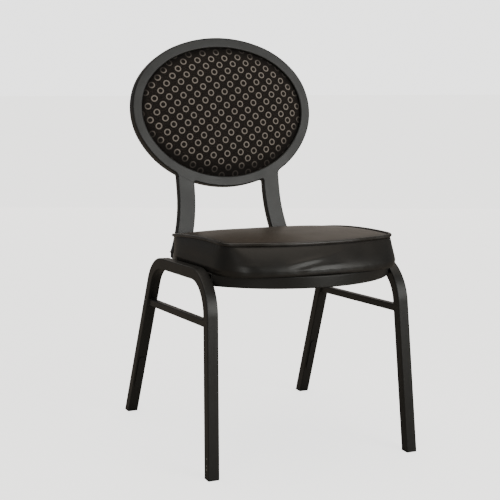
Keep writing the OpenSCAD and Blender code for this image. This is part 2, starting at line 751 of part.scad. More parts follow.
module clip_places() {
    for (a = clip_angles) translate([oval_edge(a).x * clip_place_share, oval_edge(a).y * clip_place_share, 0])
        children();
}

module depth_cylinder(from, to, d) {
    translate([0, 0, -to]) cylinder(d = d, h = to - from, $fn = round_fn);
}

module back_tabs() {
    color(frame_colour) in_back() difference() {
        intersection() {
            tab_places() translate([-ring_face / 2, -tab_w / 2, -tab_rear])
                cube([ring_face / 2 + tab_l, tab_w, tab_t]);
            translate([0, 0, -tab_rear - over])
                linear_extrude(tab_t + 2 * over) polygon(oval(ring_face + tab_fit));
        }
        tab_places() translate([tab_screw_at, 0, 0])
            depth_cylinder(tab_front - over, tab_rear + over, back_screw_d + 2 * t_nut_clear);
    }
}

module back_board() {
    color(ply_colour) in_back() difference() {
        translate([0, 0, -back_board_rear]) linear_extrude(back_board_t) polygon(oval(board_inset));
        tab_places() translate([tab_screw_at, 0, 0]) {
            depth_cylinder(back_board_d - over, back_board_rear + over, back_nut_barrel_d + 2 * t_nut_clear);
            depth_cylinder(back_board_d - over, back_board_d + back_nut_flange_h,
                back_nut_flange_d + 2 * t_nut_clear);
        }
        clip_places() depth_cylinder(back_board_rear - clip_depth, back_board_rear + over, clip_d + 2 * peg_clear);
    }
}

// A ring of a pad's dome; sign is 1 to the front and -1 to the rear, base its rim's place
function dome_ring(share, grow, base, crown, sign) =
    [for (p = oval(board_inset - grow))
        [p.x * share, p.y * share, base + sign * (crown * (1 - pow(share, pad_edge_power)) + grow)]];
function dome_tip(grow, base, crown, sign) = [0, 0, base + sign * (crown + grow)];
function dome_list(grow, base, crown, sign) =
    [for (s = pad_shrink_shares) dome_ring(s, grow, base, crown, sign)];

module back_foam() {
    color(foam_colour) in_back() skin(
        concat([lift(oval(board_inset), -back_board_d)], dome_list(0, -pad_rim, pad_crown, 1)),
        [0, 0, -back_board_d], dome_tip(0, -pad_rim, pad_crown, 1));
}

module back_front_cover() {
    edge = oval(board_inset - cover_t);
    hem = shrink(edge, [0, 0], 1 - hem_w / oval_half_w);
    rings = concat(
        reversed(dome_list(0, -pad_rim, pad_crown, 1)),
        [lift(oval(board_inset), -back_board_rear), lift(hem, -back_board_rear), lift(hem, -tab_front),
            lift(edge, -tab_front)],
        dome_list(cover_t, -pad_rim, pad_crown, 1));
    color(ring_fabric_colour) in_back()
        skin(rings, dome_tip(0, -pad_rim, pad_crown, 1), dome_tip(cover_t, -pad_rim, pad_crown, 1));
}

module back_t_nuts() {
    barrel_h = back_board_t - back_nut_flange_h - t_nut_lead;
    color(zinc_colour) in_back() tab_places() translate([tab_screw_at, 0, -back_board_d - back_nut_flange_h])
        t_nut(back_screw_d + 2 * thread_clear, back_nut_barrel_d, barrel_h, back_nut_flange_d,
            back_nut_flange_h);
}

module back_screws() {
    color(zinc_colour) in_back() tab_places() translate([tab_screw_at, 0, 0]) {
        depth_cylinder(back_board_d + back_nut_flange_h, tab_rear, back_screw_d);
        depth_cylinder(tab_rear, tab_rear + back_screw_head_h, back_screw_head_d);
    }
}

module back_rear_panel() {
    color(ply_colour) in_back() difference() {
        translate([0, 0, -panel_rear]) linear_extrude(panel_t) polygon(oval(board_inset));
        tab_places() translate([tab_screw_at, 0, 0])
            depth_cylinder(tab_rear - over, panel_rear + over, back_screw_head_d + 2 * panel_clear);
        clip_places() {
            depth_cylinder(tab_rear - over, panel_rear + over, clip_d + 2 * peg_clear);
            depth_cylinder(panel_rear - clip_head_h, panel_rear + over, clip_head_d + 2 * peg_clear);
        }
    }
}

module back_rear_foam() {
    base = -panel_rear - rear_foam_t;
    color(foam_colour) in_back() skin(
        concat(reversed(dome_list(0, base, rear_crown, -1)), [lift(oval(board_inset), -panel_rear)]),
        dome_tip(0, base, rear_crown, -1), [0, 0, -panel_rear]);
}

module back_rear_cover() {
    base = -panel_rear - rear_foam_t;
    edge = oval(board_inset - cover_t);
    rings = concat(
        reversed(dome_list(cover_t, base, rear_crown, -1)),
        [lift(edge, -tab_rear), lift(oval(board_inset), -tab_rear)],
        dome_list(0, base, rear_crown, -1));
    color(vinyl_colour) in_back()
        skin(rings, dome_tip(cover_t, base, rear_crown, -1), dome_tip(0, base, rear_crown, -1));
}

module back_panel_clips() {
    color(plastic_colour) in_back() clip_places() {
        depth_cylinder(panel_rear - clip_head_h, panel_rear, clip_head_d);
        depth_cylinder(back_board_rear - clip_depth, panel_rear, clip_d);
    }
}

side_frame(-1);  // side_frame_left
side_frame(1);  // side_frame_right
side_stretcher(-1);  // side_stretcher_left
side_stretcher(1);  // side_stretcher_right
front_apron();
seat_bearer(1);  // seat_bearer_left
seat_bearer(0);  // seat_bearer_right
rear_cross_rail();
seat_bar(-front_bar_y);  // front_seat_bar
seat_bar(rear_bar_y);  // rear_seat_bar
back_ring();
back_upright(1);  // back_upright_left
back_upright(0);  // back_upright_right
back_tabs();
seat_board();
seat_foam();
seat_top_cover();
seat_boxing();
seat_piping();
seat_dust_cover();
seat_t_nuts();
seat_screws();
back_board();
back_foam();
back_front_cover();
back_t_nuts();
back_screws();
back_rear_panel();
back_rear_foam();
back_rear_cover();
back_panel_clips();
glide(-1, front_foot, -front_lean);  // glide_front_left
glide(1, front_foot, -front_lean);  // glide_front_right
glide(-1, rear_foot, rear_lean);  // glide_rear_left
glide(1, rear_foot, rear_lean);  // glide_rear_right
stack_bumper(-1);  // stack_bumper_left
stack_bumper(1);  // stack_bumper_right
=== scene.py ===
from math import atan2, ceil, cos, pi, radians, sin, sqrt, tan

import bmesh
import bpy
import numpy as np
from mathutils import Matrix, Vector


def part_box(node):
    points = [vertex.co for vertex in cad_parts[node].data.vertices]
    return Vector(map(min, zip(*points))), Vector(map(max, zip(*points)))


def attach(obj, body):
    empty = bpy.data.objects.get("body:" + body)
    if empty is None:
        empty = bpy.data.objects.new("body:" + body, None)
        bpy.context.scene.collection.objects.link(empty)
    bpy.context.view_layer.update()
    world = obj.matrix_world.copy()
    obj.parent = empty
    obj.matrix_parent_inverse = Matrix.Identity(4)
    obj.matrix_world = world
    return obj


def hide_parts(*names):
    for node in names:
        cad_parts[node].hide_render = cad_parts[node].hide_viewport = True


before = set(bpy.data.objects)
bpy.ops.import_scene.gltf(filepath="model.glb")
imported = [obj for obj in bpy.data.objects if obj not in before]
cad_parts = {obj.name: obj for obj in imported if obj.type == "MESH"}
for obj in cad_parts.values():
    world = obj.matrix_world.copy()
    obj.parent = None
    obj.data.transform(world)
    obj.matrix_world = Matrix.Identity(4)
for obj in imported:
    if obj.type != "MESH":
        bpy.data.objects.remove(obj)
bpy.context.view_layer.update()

# The three planes that the chair is built on
# A leg frame leans inward on its feet, the seat falls slightly to the rear, and the back leans
# on its uprights. Each has its own flat drawing plane, which these matrices place in the room.
foot_half_x = 0.242
splay = radians(1.9)
apron_front = 0.332
rail_h = 0.414
board_drop = 0.0052
seat_tilt = radians(1.72)
back_lean = radians(12)
back_y = 0.2452
back_z = 0.7532
tube = 0.0254

shift_y = apron_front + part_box("front_apron")[0].y
seat_z = rail_h + tube / 2 - board_drop
upright_drawing = Matrix.Rotation(pi / 2, 4, "Z") @ Matrix.Rotation(pi / 2, 4, "X")
seat_plane = Matrix.Translation((0, shift_y, seat_z)) @ Matrix.Rotation(-seat_tilt, 4, "X")
back_plane = (Matrix.Translation((0, shift_y + back_y, back_z))
              @ Matrix.Rotation(pi / 2 - back_lean, 4, "X"))


def side_plane(side):
    """The drawing plane of one leg frame: x is the depth of the chair, y the height."""
    place = Matrix.Translation((side * foot_half_x, shift_y, 0))
    return place @ Matrix.Rotation(-side * splay, 4, "Y") @ upright_drawing


# Camera
# It stands in front of the chair and to its left in the picture, about as high as the back,
# and looks slightly down through a portrait lens.
camera_place = Vector((-1.105, -2.437 + shift_y, 0.847))
camera_yaw = radians(23.70)
camera_pitch = radians(-8.717)
camera_roll = radians(0.2886)
lens = 82.67
sensor = 36


def added(name, data):
    """A new object in the scene."""
    made = bpy.data.objects.new(name, data)
    bpy.context.collection.objects.link(made)
    return made


sight = Vector((sin(camera_yaw) * cos(camera_pitch), cos(camera_yaw) * cos(camera_pitch),
                sin(camera_pitch)))
level = Vector((cos(camera_yaw), -sin(camera_yaw), 0))
upward = level.cross(sight)
right_hand = cos(camera_roll) * level + sin(camera_roll) * upward
upward = right_hand.cross(sight)
camera = added("camera", bpy.data.cameras.new("camera"))
camera.data.lens = lens
camera.data.sensor_width = sensor
camera.matrix_world = (Matrix.Translation(camera_place)
                       @ Matrix((right_hand, upward, -sight)).transposed().to_4x4())
bpy.context.scene.camera = camera

# Floor and light
# A wide pale floor runs out to a pale surround. Three cool lamps stand in front, a big warm one
# stands behind and gives the seat its sheen, and a soft warm light falls from the ceiling.
floor_half = 40
floor_colour = (0.82, 0.82, 0.81)
floor_bounce = (0.40, 0.37, 0.33)
floor_glow = 2.5
floor_roughness = 0.9
surround_colour = (0.93, 0.93, 0.92)
surround_light = 0.17
surround_seen = 2.8
ceiling_light = 1.0
ceiling_colour = (1, 0.90, 0.78)
ceiling_spread = radians(70)
ceiling_turn = radians(-8)
# Each lamp's place, the point it faces, its width, its power and its colour
lamps = {"front lamp": ((1.20, -2.6, 1.50), (0, 0, 0.6), 1.7, 33, (1, 1, 0.96)),
         "side lamp": ((-2.3, -2.2, 1.3), (0, 0, 0.5), 0.9, 9, (1, 1, 0.97)),
         "low lamp": ((0.95, -2.5, 0.85), (0, 0, 0.4), 0.35, 3.5, (0.98, 1, 0.97)),
         "rear lamp": ((1.6, 3.8, 1.7), (0, 0, 0.5), 4.4, 17, (1, 0.88, 0.76))}
square_corners = ((-1, -1), (1, -1), (1, 1), (-1, 1))


def linked(tree, kind, values=None, **settings):
    """A node with its settings and input values; a value that is a socket is linked instead."""
    made = tree.nodes.new(kind)
    for name, value in settings.items():
        setattr(made, name, value)
    for key, value in (values or {}).items():
        if isinstance(value, bpy.types.NodeSocket):
            tree.links.new(value, made.inputs[key])
        else:
            made.inputs[key].default_value = value
    return made


def passed(tree, kind, values=None, **settings):
    """The first output of a new node."""
    return linked(tree, kind, values, **settings).outputs[0]


def stretched(tree, value, low=0.0, high=1.0, to_low=0.0, to_high=1.0):
    """A value carried from one range to another, and held at its ends."""
    return passed(tree, "ShaderNodeMapRange", {0: value, 1: low, 2: high, 3: to_low, 4: to_high})


def blended(tree, mask, below, above):
    """A colour that goes from below to above with a mask; either may be a socket."""
    colours = [c if isinstance(c, bpy.types.NodeSocket) else (*c, 1) for c in (below, above)]
    return linked(tree, "ShaderNodeMix", {0: mask, 6: colours[0], 7: colours[1]},
                  data_type="RGBA").outputs[2]


def finish_of(name, colour, roughness, **settings):
    """A new material with its shader; settings are the shader's sockets, with _ for a space."""
    material = bpy.data.materials.new(name)
    material.use_nodes = True
    shader = material.node_tree.nodes["Principled BSDF"]
    shader.inputs["Base Color"].default_value = (*colour, 1)
    shader.inputs["Roughness"].default_value = roughness
    for key, value in settings.items():
        shader.inputs[key.replace("_", " ")].default_value = value
    return material, material.node_tree, shader


# The floor glows pale to the camera, and throws little of the light back on the dark frame
floor_finish, tree, shader = finish_of("pale floor", floor_colour, floor_roughness)
seen = linked(tree, "ShaderNodeLightPath").outputs["Is Camera Ray"]
tree.links.new(blended(tree, seen, floor_bounce, floor_colour), shader.inputs["Base Color"])
shader.inputs["Emission Color"].default_value = (*floor_colour, 1)
tree.links.new(stretched(tree, seen, to_high=floor_glow), shader.inputs["Emission Strength"])
floor_mesh = bpy.data.meshes.new("floor")
floor_mesh.from_pydata([(x * floor_half, y * floor_half, 0) for x, y in square_corners],
                       [], [(0, 1, 2, 3)])
floor_mesh.materials.append(floor_finish)
floor = added("floor", floor_mesh)

world = bpy.data.worlds.new("surround")
bpy.context.scene.world = world
world.use_nodes = True
sky = world.node_tree
seen = linked(sky, "ShaderNodeLightPath").outputs["Is Camera Ray"]
strength = stretched(sky, seen, to_low=surround_light, to_high=surround_seen)
sky.nodes["Background"].inputs["Color"].default_value = (*surround_colour, 1)
sky.links.new(strength, sky.nodes["Background"].inputs["Strength"])

for name, (place, aim, width, power, colour) in lamps.items():
    lamp = added(name, bpy.data.lights.new(name, "AREA"))
    lamp.data.size = width
    lamp.data.energy = power
    lamp.data.color = colour
    lamp.location = place
    lamp.rotation_euler = (Vector(aim) - Vector(place)).to_track_quat("-Z", "Y").to_euler()
ceiling = added("ceiling light", bpy.data.lights.new("ceiling light", "SUN"))
ceiling.data.energy = ceiling_light
ceiling.data.angle = ceiling_spread
ceiling.data.color = ceiling_colour
ceiling.rotation_euler = (ceiling_turn, 0, 0)

# Powder coat of the steel frame
# Every tube, bar, tab and weld is sprayed as one with black powder and baked. The coat has a
# fine orange peel, a satin shine, a little dust on top and a few chips down to primer.
coat_colour = (0.016, 0.016, 0.015)
coat_dust_colour = (0.045, 0.044, 0.040)
coat_roughness = 0.40
coat_peel = {"Size": 0.0016, "Roughness": coat_roughness, "Spread": 0.16}
coat_peel_depth = 0.00003
coat_dust = 0.35
chip_colour = (0.33, 0.32, 0.30)
chip_places = ((-0.2535, -0.2645, 0.045), (-0.2535, -0.266, 0.022), (-0.2525, -0.2655, 0.030))
chip_size = 0.0016
chip_ragged = 2
chip_edge = 0.6


def effect(name, inputs, outputs):
    """An empty shader node group with what it takes and gives; None stands for a place."""
    group = bpy.data.node_groups.new(name, "ShaderNodeTree")
    for label, value in inputs.items():
        kind = "NodeSocketVector" if value is None else "NodeSocketFloat"
        socket = group.interface.new_socket(label, in_out="INPUT", socket_type=kind)
        if value is not None:
            socket.default_value = value
    for label in outputs:
        group.interface.new_socket(label, in_out="OUTPUT", socket_type="NodeSocketFloat")
    return group, group.nodes.new("NodeGroupInput").outputs


def give(tree, taker=None, **results):
    """Links results by name, with _ for a space, to a node or to what the group gives."""
    taker = taker or tree.nodes.new("NodeGroupOutput")
    for label, result in results.items():
        tree.links.new(result, taker.inputs[label.replace("_", " ")])


def worked(tree, operation, *values):
    """What a math node makes of its values."""
    return passed(tree, "ShaderNodeMath", dict(enumerate(values)), operation=operation)


def measured(tree, operation, *values):
    """The number that a vector math node makes of its values."""
    return linked(tree, "ShaderNodeVectorMath", dict(enumerate(values)),
                  operation=operation).outputs["Value"]


def object_place(tree):
    return linked(tree, "ShaderNodeTexCoord").outputs["Object"]


def noise(tree, place, scale, detail, **values):
    """Clouds of 0 to 1, with so many to a metre."""
    values = {"Vector": place, "Scale": scale, "Detail": detail, **values}
    return linked(tree, "ShaderNodeTexNoise", values).outputs["Fac"]


def per_metre(tree, size):
    """How many of a size in metres go to a metre."""
    return worked(tree, "DIVIDE", 1.0, size)


def patchy_shine(tree, given, patches):
    """A roughness that strays from its mean in patches, by its spread."""
    stray = worked(tree, "ADD", patches, -0.5)
    return worked(tree, "MULTIPLY_ADD", stray, given["Spread"], given["Roughness"])


# Orange peel: low rounded bumps over a patchy shine, for sprayed and moulded surfaces
orange_peel, given = effect(
    "orange peel", {"Size": 0.0016, "Roughness": 0.4, "Spread": 0.1, "Patch": 0.06},
    ["Height", "Roughness"])
place = object_place(orange_peel)
bumps = noise(orange_peel, place, per_metre(orange_peel, given["Size"]), detail=2.0)
patches = noise(orange_peel, place, per_metre(orange_peel, given["Patch"]), detail=5.0)
give(orange_peel, Height=bumps, Roughness=patchy_shine(orange_peel, given, patches))

# Dust: what settles on faces that look up, thicker in patches
dust, given = effect("dust", {"Amount": 0.5, "Patch": 0.03}, ["Mask"])
facing = linked(dust, "ShaderNodeSeparateXYZ",
                {0: linked(dust, "ShaderNodeNewGeometry").outputs["Normal"]}).outputs["Z"]
cloud = noise(dust, object_place(dust), per_metre(dust, given["Patch"]), detail=6.0)
settled = worked(dust, "MULTIPLY", stretched(dust, facing, low=0.2), cloud)
give(dust, Mask=worked(dust, "MULTIPLY", settled, given["Amount"]))


def use_effect(tree, group, **values):
    """What a node group gives in a material, with its own values."""
    return linked(tree, "ShaderNodeGroup", values, node_tree=group).outputs


def dress(tree, shader, height, depth, **results):
    """Gives a shader its results, and raises its surface by a height of 0 to 1, in metres."""
    bump = passed(tree, "ShaderNodeBump", {"Height": height, "Distance": depth, "Strength": 1.0})
    give(tree, shader, Normal=bump, **results)


powder_coat, tree, shader = finish_of("black powder coat", coat_colour, coat_roughness)
peel = use_effect(tree, orange_peel, **coat_peel)
film = use_effect(tree, dust, Amount=coat_dust)
spot = object_place(tree)
away = [measured(tree, "DISTANCE", spot, place) for place in chip_places]
chips = away[0]
for other in away[1:]:
    chips = worked(tree, "MINIMUM", chips, other)
ragged = noise(tree, spot, 1 / chip_size, detail=4.0)
chips = worked(tree, "MULTIPLY_ADD", ragged, -chip_ragged * chip_size, chips)
chipped = stretched(tree, chips, low=chip_size * chip_edge, high=0.0)
sprayed = blended(tree, film["Mask"], coat_colour, coat_dust_colour)
dress(tree, shader, peel["Height"], coat_peel_depth, Roughness=peel["Roughness"],
      Base_Color=blended(tree, chipped, sprayed, chip_colour))

# Leg frames
# Each is one length of square steel tube with round corners: up from the front foot, round a
# bend into the seat rail, and round a second bend down to the rear foot.
foot_half_y = 0.277
front_lean = radians(5.9)
rear_lean = radians(22.9)
rail_tilt = radians(2.8)
leg_bend_r = 0.088
glide_pad = 0.003
tube_wall = 0.0012
tube_corner = 0.0025
tube_past_floor = 0.03
bend_step = radians(2.5)
corner_cuts = 5
flat_face_weight = 80
sides = ((-1, "left"), (1, "right"))


def heading(start, end):
    return atan2(end[1] - start[1], end[0] - start[0])


def stepped(point, angle, distance):
    return (point[0] + distance * cos(angle), point[1] + distance * sin(angle))


def arc(centre, radius, start, end, step=bend_step, count=None):
    """Points of an arc, without its last one."""
    count = count or max(1, ceil(abs(end - start) / step))
    return [stepped(centre, start + (end - start) * i / count, radius) for i in range(count)]


def bent_line(corners, radius):
    """A line through corner points with an arc of one radius at each."""
    points = [corners[0]]
    for before, corner, after in zip(corners, corners[1:], corners[2:]):
        a, b = heading(before, corner), heading(corner, after)
        turn = (b - a + pi) % (2 * pi) - pi
        side = 1 if turn > 0 else -1
        back = radius * tan(abs(turn) / 2)
        centre = (corner[0] - back * cos(a) - side * radius * sin(a),
                  corner[1] - back * sin(a) + side * radius * cos(a))
        start = a - side * pi / 2
        points += arc(centre, radius, start, start + turn) + [stepped(corner, b, back)]
    return points + [corners[-1]]


def geometry_tool(name, takes, gives, **inputs):
    """An empty geometry node group and its inputs, named with their kinds."""
    tree = bpy.data.node_groups.new(name, "GeometryNodeTree")
    for label, kind in {takes: "Geometry", **inputs}.items():
        tree.interface.new_socket(label, in_out="INPUT", socket_type="NodeSocket" + kind)
    tree.interface.new_socket(gives, in_out="OUTPUT", socket_type="NodeSocketGeometry")
    return tree, tree.nodes.new("NodeGroupInput").outputs


def end_tool(tree, shape, material):
    """The last nodes of a geometry tool, which make its shape real and give it a material."""
    shape = passed(tree, "GeometryNodeRealizeInstances", {"Geometry": shape})
    shape = passed(tree, "GeometryNodeSetMaterial", {"Geometry": shape, "Material": material})
    tree.links.new(shape, tree.nodes.new("NodeGroupOutput").inputs[0])


# Geometry nodes that draw a rounded rectangular section along a flat path
tube_nodes, given = geometry_tool("section along a path", "Path", "Tube", Width="Float",
                                  Depth="Float", Corner="Float", Coat="Material")
path = passed(tube_nodes, "GeometryNodeMeshToCurve", {"Mesh": given["Path"]})
path = passed(tube_nodes, "GeometryNodeSetCurveNormal", {"Curve": path}, mode="Z_UP")
outline = passed(tube_nodes, "GeometryNodeCurvePrimitiveQuadrilateral",
                 {"Width": given["Width"], "Height": given["Depth"]})
outline = passed(tube_nodes, "GeometryNodeFilletCurve",
                 {"Curve": outline, "Radius": given["Corner"], "Count": corner_cuts}, mode="POLY")
swept = passed(tube_nodes, "GeometryNodeCurveToMesh", {"Curve": path, "Profile Curve": outline})
end_tool(tube_nodes, swept, given["Coat"])


def evaluated(holder):
    """The plain mesh that an object's modifiers make. The object itself goes."""
    made = bpy.data.meshes.new_from_object(
        holder.evaluated_get(bpy.context.evaluated_depsgraph_get()))
    bpy.data.objects.remove(holder)
    return made


def run_tool(tree, mesh, values):
    """What a geometry tool makes of a mesh."""
    holder = added(tree.name, mesh)
    modifier = holder.modifiers.new(tree.name, "NODES")
    modifier.node_group = tree
    for item in tree.interface.items_tree:
        if item.in_out == "INPUT" and item.name in values:
            modifier[item.identifier] = values[item.name]
    return evaluated(holder)


def changed(mesh, kind, **settings):
    """What one modifier makes of a mesh."""
    holder = added(mesh.name, mesh)
    modifier = holder.modifiers.new(kind, kind)
    for name, value in settings.items():
        setattr(modifier, name, value)
    return evaluated(holder)


def line_mesh(points, closed=False):
    """Points of two or three coordinates, joined by edges."""
    mesh = bpy.data.meshes.new("path")
    edges = [(i, i + 1) for i in range(len(points) - 1)]
    if closed:
        edges.append((len(points) - 1, 0))
    mesh.from_pydata([(*p, 0) if len(p) == 2 else tuple(p) for p in points], edges, [])
    return mesh


def smooth(mesh):
    mesh.polygons.foreach_set("use_smooth", [True] * len(mesh.polygons))
    return mesh


def skin_mesh(name, skins):
    """A smooth mesh of skins whose faces are all turned outward."""
    bmesh.ops.recalc_face_normals(skins, faces=skins.faces)
    mesh = bpy.data.meshes.new(name)
    skins.to_mesh(mesh)
    return smooth(mesh)


def with_flat_faces(mesh):
    """Smooth shading that keeps a tube's wide faces flat between its round corners."""
    return changed(mesh, "WEIGHTED_NORMAL", keep_sharp=True, weight=flat_face_weight)


def piece_of(name, mesh, *stands_for, slot="frame_coat", material=powder_coat):
    """A finished piece of the one rigid body, in place of its CAD nodes."""
    piece = added(name, mesh)
    mesh.materials.clear()
    mesh.materials.append(material)
    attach(piece, "root")
    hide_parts(*stands_for)
    return piece


def edge_loops(edges):
    """Edges gathered into their connected loops, in the order of the loops' depth."""
    left, loops = set(edges), []
    while left:
        loop, front = [], [left.pop()]
        while front:
            edge = front.pop()
            loop.append(edge)
            for other in [e for vert in edge.verts for e in vert.link_edges if e in left]:
                left.discard(other)
                front.append(other)
        loops.append(loop)
    return sorted(loops, key=lambda loop: sum(e.verts[0].co.y for e in loop) / len(loop))


def bent_tube(points, place, width, depth, corner, cuts=(), closed=False):
    """A hollow tube along a flat path. Each cut is a point and a plane's outward direction."""
    skins = bmesh.new()
    for wall in (0,) if closed else (0, tube_wall):
        skins.from_mesh(run_tool(tube_nodes, line_mesh(points, closed), {
            "Width": width - 2 * wall, "Depth": depth - 2 * wall, "Corner": corner - wall,
            "Coat": powder_coat}))
    skins.transform(place)
    for point, outward in cuts:
        everything = skins.verts[:] + skins.edges[:] + skins.faces[:]
        found = bmesh.ops.bisect_plane(skins, geom=everything, plane_co=point, plane_no=outward,
                                       clear_outer=True)
        rim = [e for e in found["geom_cut"] if isinstance(e, bmesh.types.BMEdge)]
        for edge in rim:
            edge.smooth = False
        loops = edge_loops(rim)
        for outer, inner in zip(loops[::2], loops[1::2]):
            bmesh.ops.bridge_loops(skins, edges=outer + inner)
    return with_flat_faces(skin_mesh("tube", skins))


rail_slope = tan(rail_tilt)
front_corner_y = (-foot_half_y + rail_h * tan(front_lean)) / (1 + rail_slope * tan(front_lean))
rear_corner_y = (foot_half_y - rail_h * tan(rear_lean)) / (1 - rail_slope * tan(rear_lean))
leg_corners = [
    (-foot_half_y - tube_past_floor * sin(front_lean), -tube_past_floor * cos(front_lean)),
    (front_corner_y, rail_h - rail_slope * front_corner_y),
    (rear_corner_y, rail_h - rail_slope * rear_corner_y),
    (foot_half_y + tube_past_floor * sin(rear_lean), -tube_past_floor * cos(rear_lean))]
leg_line = bent_line(leg_corners, leg_bend_r)
for side, word in sides:
    plane = side_plane(side)
    at_pad = [(plane @ Vector((0, glide_pad, 0)), plane.to_3x3() @ Vector((0, -1, 0)))]
    piece_of(f"leg_frame_{word}", bent_tube(leg_line, plane, tube, tube, tube_corner, at_pad),
             f"side_frame_{word}")

# Stretchers
# A light square tube low on each side keeps the two legs apart. Its ends are welded all round
# to the legs' inner faces, with a narrow rippled bead under the same powder coat.
stretcher = 0.016
stretcher_front_h = 0.3255
stretcher_rear_h = 0.304
bead_radius = 0.0019
bead_ripple = 0.0021
bead_least = 0.62
bead_rise = 0.22
bead_wander = 0.45
bead_clouds = 160.0
bead_sides = 8
points_per_ripple = 5.0

# Geometry nodes that lay a weld bead along a line: a cord whose thickness ripples
weld_nodes, given = geometry_tool("weld bead", "Line", "Bead", Radius="Float", Ripple="Float",
                                  Seed="Float", Coat="Material")
line = passed(weld_nodes, "GeometryNodeMeshToCurve", {"Mesh": given["Line"]})
step = worked(weld_nodes, "DIVIDE", given["Ripple"], points_per_ripple)
line = passed(weld_nodes, "GeometryNodeResampleCurve", {"Curve": line, "Length": step},
              mode="LENGTH")
along = linked(weld_nodes, "GeometryNodeSplineParameter").outputs["Length"]
phase = worked(weld_nodes, "MULTIPLY", worked(weld_nodes, "DIVIDE", along, given["Ripple"]), pi)
phase = worked(weld_nodes, "ABSOLUTE", worked(weld_nodes, "SINE", phase))
uneven = passed(weld_nodes, "ShaderNodeTexNoise", {"W": given["Seed"], "Scale": bead_clouds},
                noise_dimensions="4D")
thick = worked(weld_nodes, "MULTIPLY_ADD", phase, bead_rise, bead_least)
thick = worked(weld_nodes, "MULTIPLY_ADD", uneven, bead_wander, thick)
thick = worked(weld_nodes, "MULTIPLY", thick, given["Radius"])
bead_section = passed(weld_nodes, "GeometryNodeCurvePrimitiveCircle",
                      {"Resolution": bead_sides, "Radius": 1.0})
laid = passed(weld_nodes, "GeometryNodeCurveToMesh",
              {"Curve": line, "Profile Curve": bead_section, "Scale": thick, "Fill Caps": True})
laid = passed(weld_nodes, "GeometryNodeSetShadeSmooth", {"Geometry": laid})
end_tool(weld_nodes, laid, given["Coat"])


def weld(name, lines, closed=True):
    """One piece that holds the weld beads along several lines of room points."""
    beads = bmesh.new()
    for seed, line in enumerate(lines):
        beads.from_mesh(run_tool(weld_nodes, line_mesh(line, closed), {
            "Radius": bead_radius, "Ripple": bead_ripple, "Seed": float(seed),
            "Coat": powder_coat}))
    piece_of(name, skin_mesh(name, beads))


def coat_nodes(material, *names):
    """Gives a finish to CAD nodes whose shape stays."""
    for name in names:
        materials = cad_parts[name].data.materials
        materials.clear()
        materials.append(material)


coat_nodes(powder_coat, "side_stretcher_left", "side_stretcher_right")
for side, word in sides:
    plane = side_plane(side)
    front_end = Vector((-foot_half_y + stretcher_front_h * tan(front_lean), stretcher_front_h, 0))
    rear_end = Vector((foot_half_y - stretcher_rear_h * tan(rear_lean), stretcher_rear_h, 0))
    run = (rear_end - front_end).normalized()
    lines = []
    for end, lean, way in ((front_end, -front_lean, 1), (rear_end, rear_lean, -1)):
        face = Vector((cos(lean), sin(lean), 0)) * way
        corners = []
        for a, b in square_corners:
            point = end + Vector((-run.y, run.x, 0)) * a * stretcher / 2
            point += Vector((0, 0, b * stretcher / 2))
            reach = tube / 2 - (point - end).dot(face)
            corners.append(plane @ (point + run * reach / run.dot(face)))
        lines.append(corners)
    weld(f"stretcher_welds_{word}", lines)

# Seat frame
# The front apron is one bowed square tube between the leg frames. Two flat tubes run back
# beside the rails, turn inward and meet a cross rail, and two flat bars carry the seat.
cover_t = 0.0012
bow_rise = 0.121
bearer_gap = 0.0004
bearer_h = 0.015
bearer_turn_y = 0.028
bearer_end_x = 0.148
bearer_bend_r = 0.060
cross_rail_y = 0.184
bow_reach = radians(78)
front_bar_y = 0.1513
rear_bar_y = 0.0
bar_w = 0.035
bar_t = 0.003

bearer_x = foot_half_x - (rail_h + tube) * tan(splay) - tube - bearer_gap
leg_inner_x = bearer_x + tube / 2 + bearer_gap
bow_r = (leg_inner_x ** 2 + bow_rise ** 2) / (2 * bow_rise)
bow_centre = (0, bow_r - apron_front)
seat_turn = seat_plane.to_3x3()


def inner_face(side):
    """A point and the outward direction of a leg frame's inner face, in the room."""
    lean = Matrix.Rotation(-side * splay, 3, "Y")
    foot = Vector((side * foot_half_x, shift_y, 0))
    return foot - lean @ Vector((side * tube / 2, 0, 0)), lean @ Vector((side, 0, 0))


def bearer_cope(side):
    """The two ends of a seat bearer's front edge, cut to the inner side of the bowed apron."""
    return [(side * x, bow_centre[1] - sqrt((bow_r - tube) ** 2 - x * x))
            for x in (bearer_x - tube / 2, bearer_x + tube / 2)]


apron_level = seat_plane @ Matrix.Translation((0, 0, -cover_t - tube / 2))
bow_line = arc(bow_centre, bow_r - tube / 2, -pi / 2 - bow_reach, -pi / 2 + bow_reach)
apron = bent_tube(bow_line, apron_level, tube, tube, tube_corner, [inner_face(-1), inner_face(1)])
piece_of("bowed_apron", apron, "front_apron")

bearer_level = seat_plane @ Matrix.Translation((0, 0, -cover_t - bearer_h / 2))
for side, word in sides:
    cope = bearer_cope(side)
    tip = (side * bearer_x, cope[0][1] - tube)
    rear_end = (side * bearer_end_x, cross_rail_y)
    turn_point = (side * bearer_x, bearer_turn_y)
    past = Vector(rear_end) + (Vector(rear_end) - Vector(turn_point)).normalized() * tube
    slant = Vector((cope[1][0] - cope[0][0], cope[1][1] - cope[0][1], 0))
    slant = slant.cross(Vector((0, 0, side))).normalized()
    cuts = [(bearer_level @ Vector((*cope[0], 0)), seat_turn @ slant),
            (bearer_level @ Vector((0, cross_rail_y - tube / 2, 0)),
             seat_turn @ Vector((0, 1, 0)))]
    line = bent_line([tip, turn_point, tuple(past)], bearer_bend_r)
    piece_of(f"bearer_{word}", bent_tube(line, bearer_level, tube, bearer_h, tube_corner, cuts),
             f"seat_bearer_{word}")
coat_nodes(powder_coat, "rear_cross_rail", "front_seat_bar", "rear_seat_bar")

